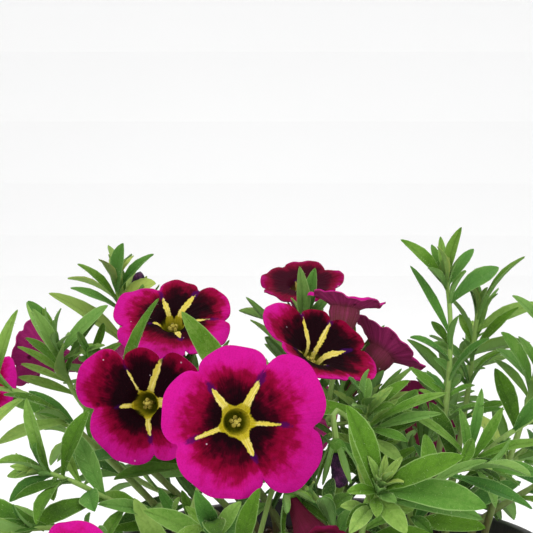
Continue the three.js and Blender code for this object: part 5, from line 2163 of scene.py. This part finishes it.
@dataclass(frozen=True)
class Stage:
    """A pale floor that rises into a backdrop, soft studio light, and the camera.

    Each lamp is a soft square that looks at the plant: its place, its side and its power.
    """

    LAMPS = {
        "key": ((-0.7, -1.3, 1.25), 1.3, 17.2),
        "fill": ((0.95, -1.0, 0.6), 1.2, 7.5),
        "top": ((0.1, 0.5, 1.5), 1.4, 9.0),
    }

    camera_place: Triple = (-14.9, -410.8, 199.9)
    camera_pitch: float = 84.0
    lens: float = 120.7
    floor_reach: float = 3.0
    bend_start: float = 1.2
    bend_radius: float = 0.8
    sky: float = 0.6
    aim: Triple = (0, 0, 0.11)

    def build(self, paper: Material) -> None:
        """Makes the floor, the lights, the sky and the camera.

        Args:
            paper: the floor's material.
        """
        self._floor(paper)
        for name, (place, size, power) in self.LAMPS.items():
            lamp = bpy.data.lights.new(name, "AREA")
            lamp.size = size
            lamp.energy = power
            holder = show(name, lamp)
            holder.location = place
            way = Vector(self.aim) - Vector(place)
            holder.rotation_euler = way.to_track_quat("-Z", "Y").to_euler()
        world = bpy.data.worlds.new("studio")
        world.use_nodes = True
        sky = world.node_tree.nodes["Background"]
        sky.inputs["Color"].default_value = (1, 1, 1, 1)
        sky.inputs["Strength"].default_value = self.sky
        scene = bpy.context.scene
        scene.world = world
        scene.view_settings.view_transform = "Standard"
        self._camera()

    def _floor(self, paper: Material) -> None:
        """A sheet that runs flat and then curves up behind.

        Args:
            paper: its material.
        """
        reach, radius = self.floor_reach, self.bend_radius
        rows = [(-reach, 0.0), (self.bend_start, 0.0)]
        rows += [(self.bend_start + radius * math.sin(a), radius - radius * math.cos(a))
                 for a in np.linspace(0.15, math.pi / 2, 10)]
        rows.append((self.bend_start + radius, reach))
        points = [(x, y, z) for y, z in rows for x in (-reach, reach)]
        faces = [(2 * n, 2 * n + 1, 2 * n + 3, 2 * n + 2) for n in range(len(rows) - 1)]
        mesh = bpy.data.meshes.new("studio_floor")
        mesh.from_pydata(points, [], faces)
        mesh.materials.append(paper)
        show("studio_floor", mesh)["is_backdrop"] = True

    def _camera(self) -> None:
        """The camera, level from the left and tipped a little down."""
        lens = bpy.data.cameras.new("camera")
        lens.lens = self.lens
        lens.sensor_width = 36.0
        lens.clip_start = 0.01
        lens.clip_end = 20.0
        holder = show("camera", lens)
        holder.location = arr(self.camera_place) * MM
        holder.rotation_euler = (math.radians(self.camera_pitch), 0, 0)
        bpy.context.scene.camera = holder


def main() -> None:
    """Builds the plant, its pot and the studio, and writes how large they are."""
    logging.basicConfig(level=logging.INFO, format="%(message)s")
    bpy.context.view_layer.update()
    make_mottle()
    make_grain()
    looks = {finish.name: finish.material() for finish in FINISHES}
    stage = Stage()
    stage.build(looks["studio_paper"])

    Pot().piece(looks["moulded_plastic"])
    soil = Soil()
    soil.piece(looks["earth"])
    lumps = Lumps()
    for name, finish, seed, density, smallest, largest, stretch in LUMPS:
        lumps.piece(
            soil.surface(), name, "soil", Density=density / MM**2, Smallest=smallest * MM,
            Largest=largest * MM, Stretch=stretch, Roughness=LUMP_ROUGHNESS * smallest * MM,
            Seed=seed, Material=looks[finish])

    clearings = Clearings(arr(stage.camera_place))
    hairs = Hairs()
    for number, (name, plan) in enumerate(STEMS.items()):
        leafy = LeafyStem(name, plan, number).piece(looks["leaf"], looks["stem"], clearings)
        hairs.piece(
            show("bare_stem", leafy.data.copy()), name.replace("stem", "hairs"), "foliage",
            Seed=number, Material=looks["leaf_down"], **HAIR_SIZES)
    for number, (name, plan) in enumerate(BLOOMS.items()):
        Flower(name, plan, number).piece(looks["velvet_petal"])
        if name in FRONT_BLOOMS:
            Pollen(name.replace("bloom", "anthers"), plan).piece(looks["pollen"])
    for number, (name, plan) in enumerate(BUDS.items()):
        if plan.length:
            ClosedFlower(name, plan, number).piece(looks["closed_petal"])

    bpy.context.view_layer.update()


if __name__ == "__main__":
    main()
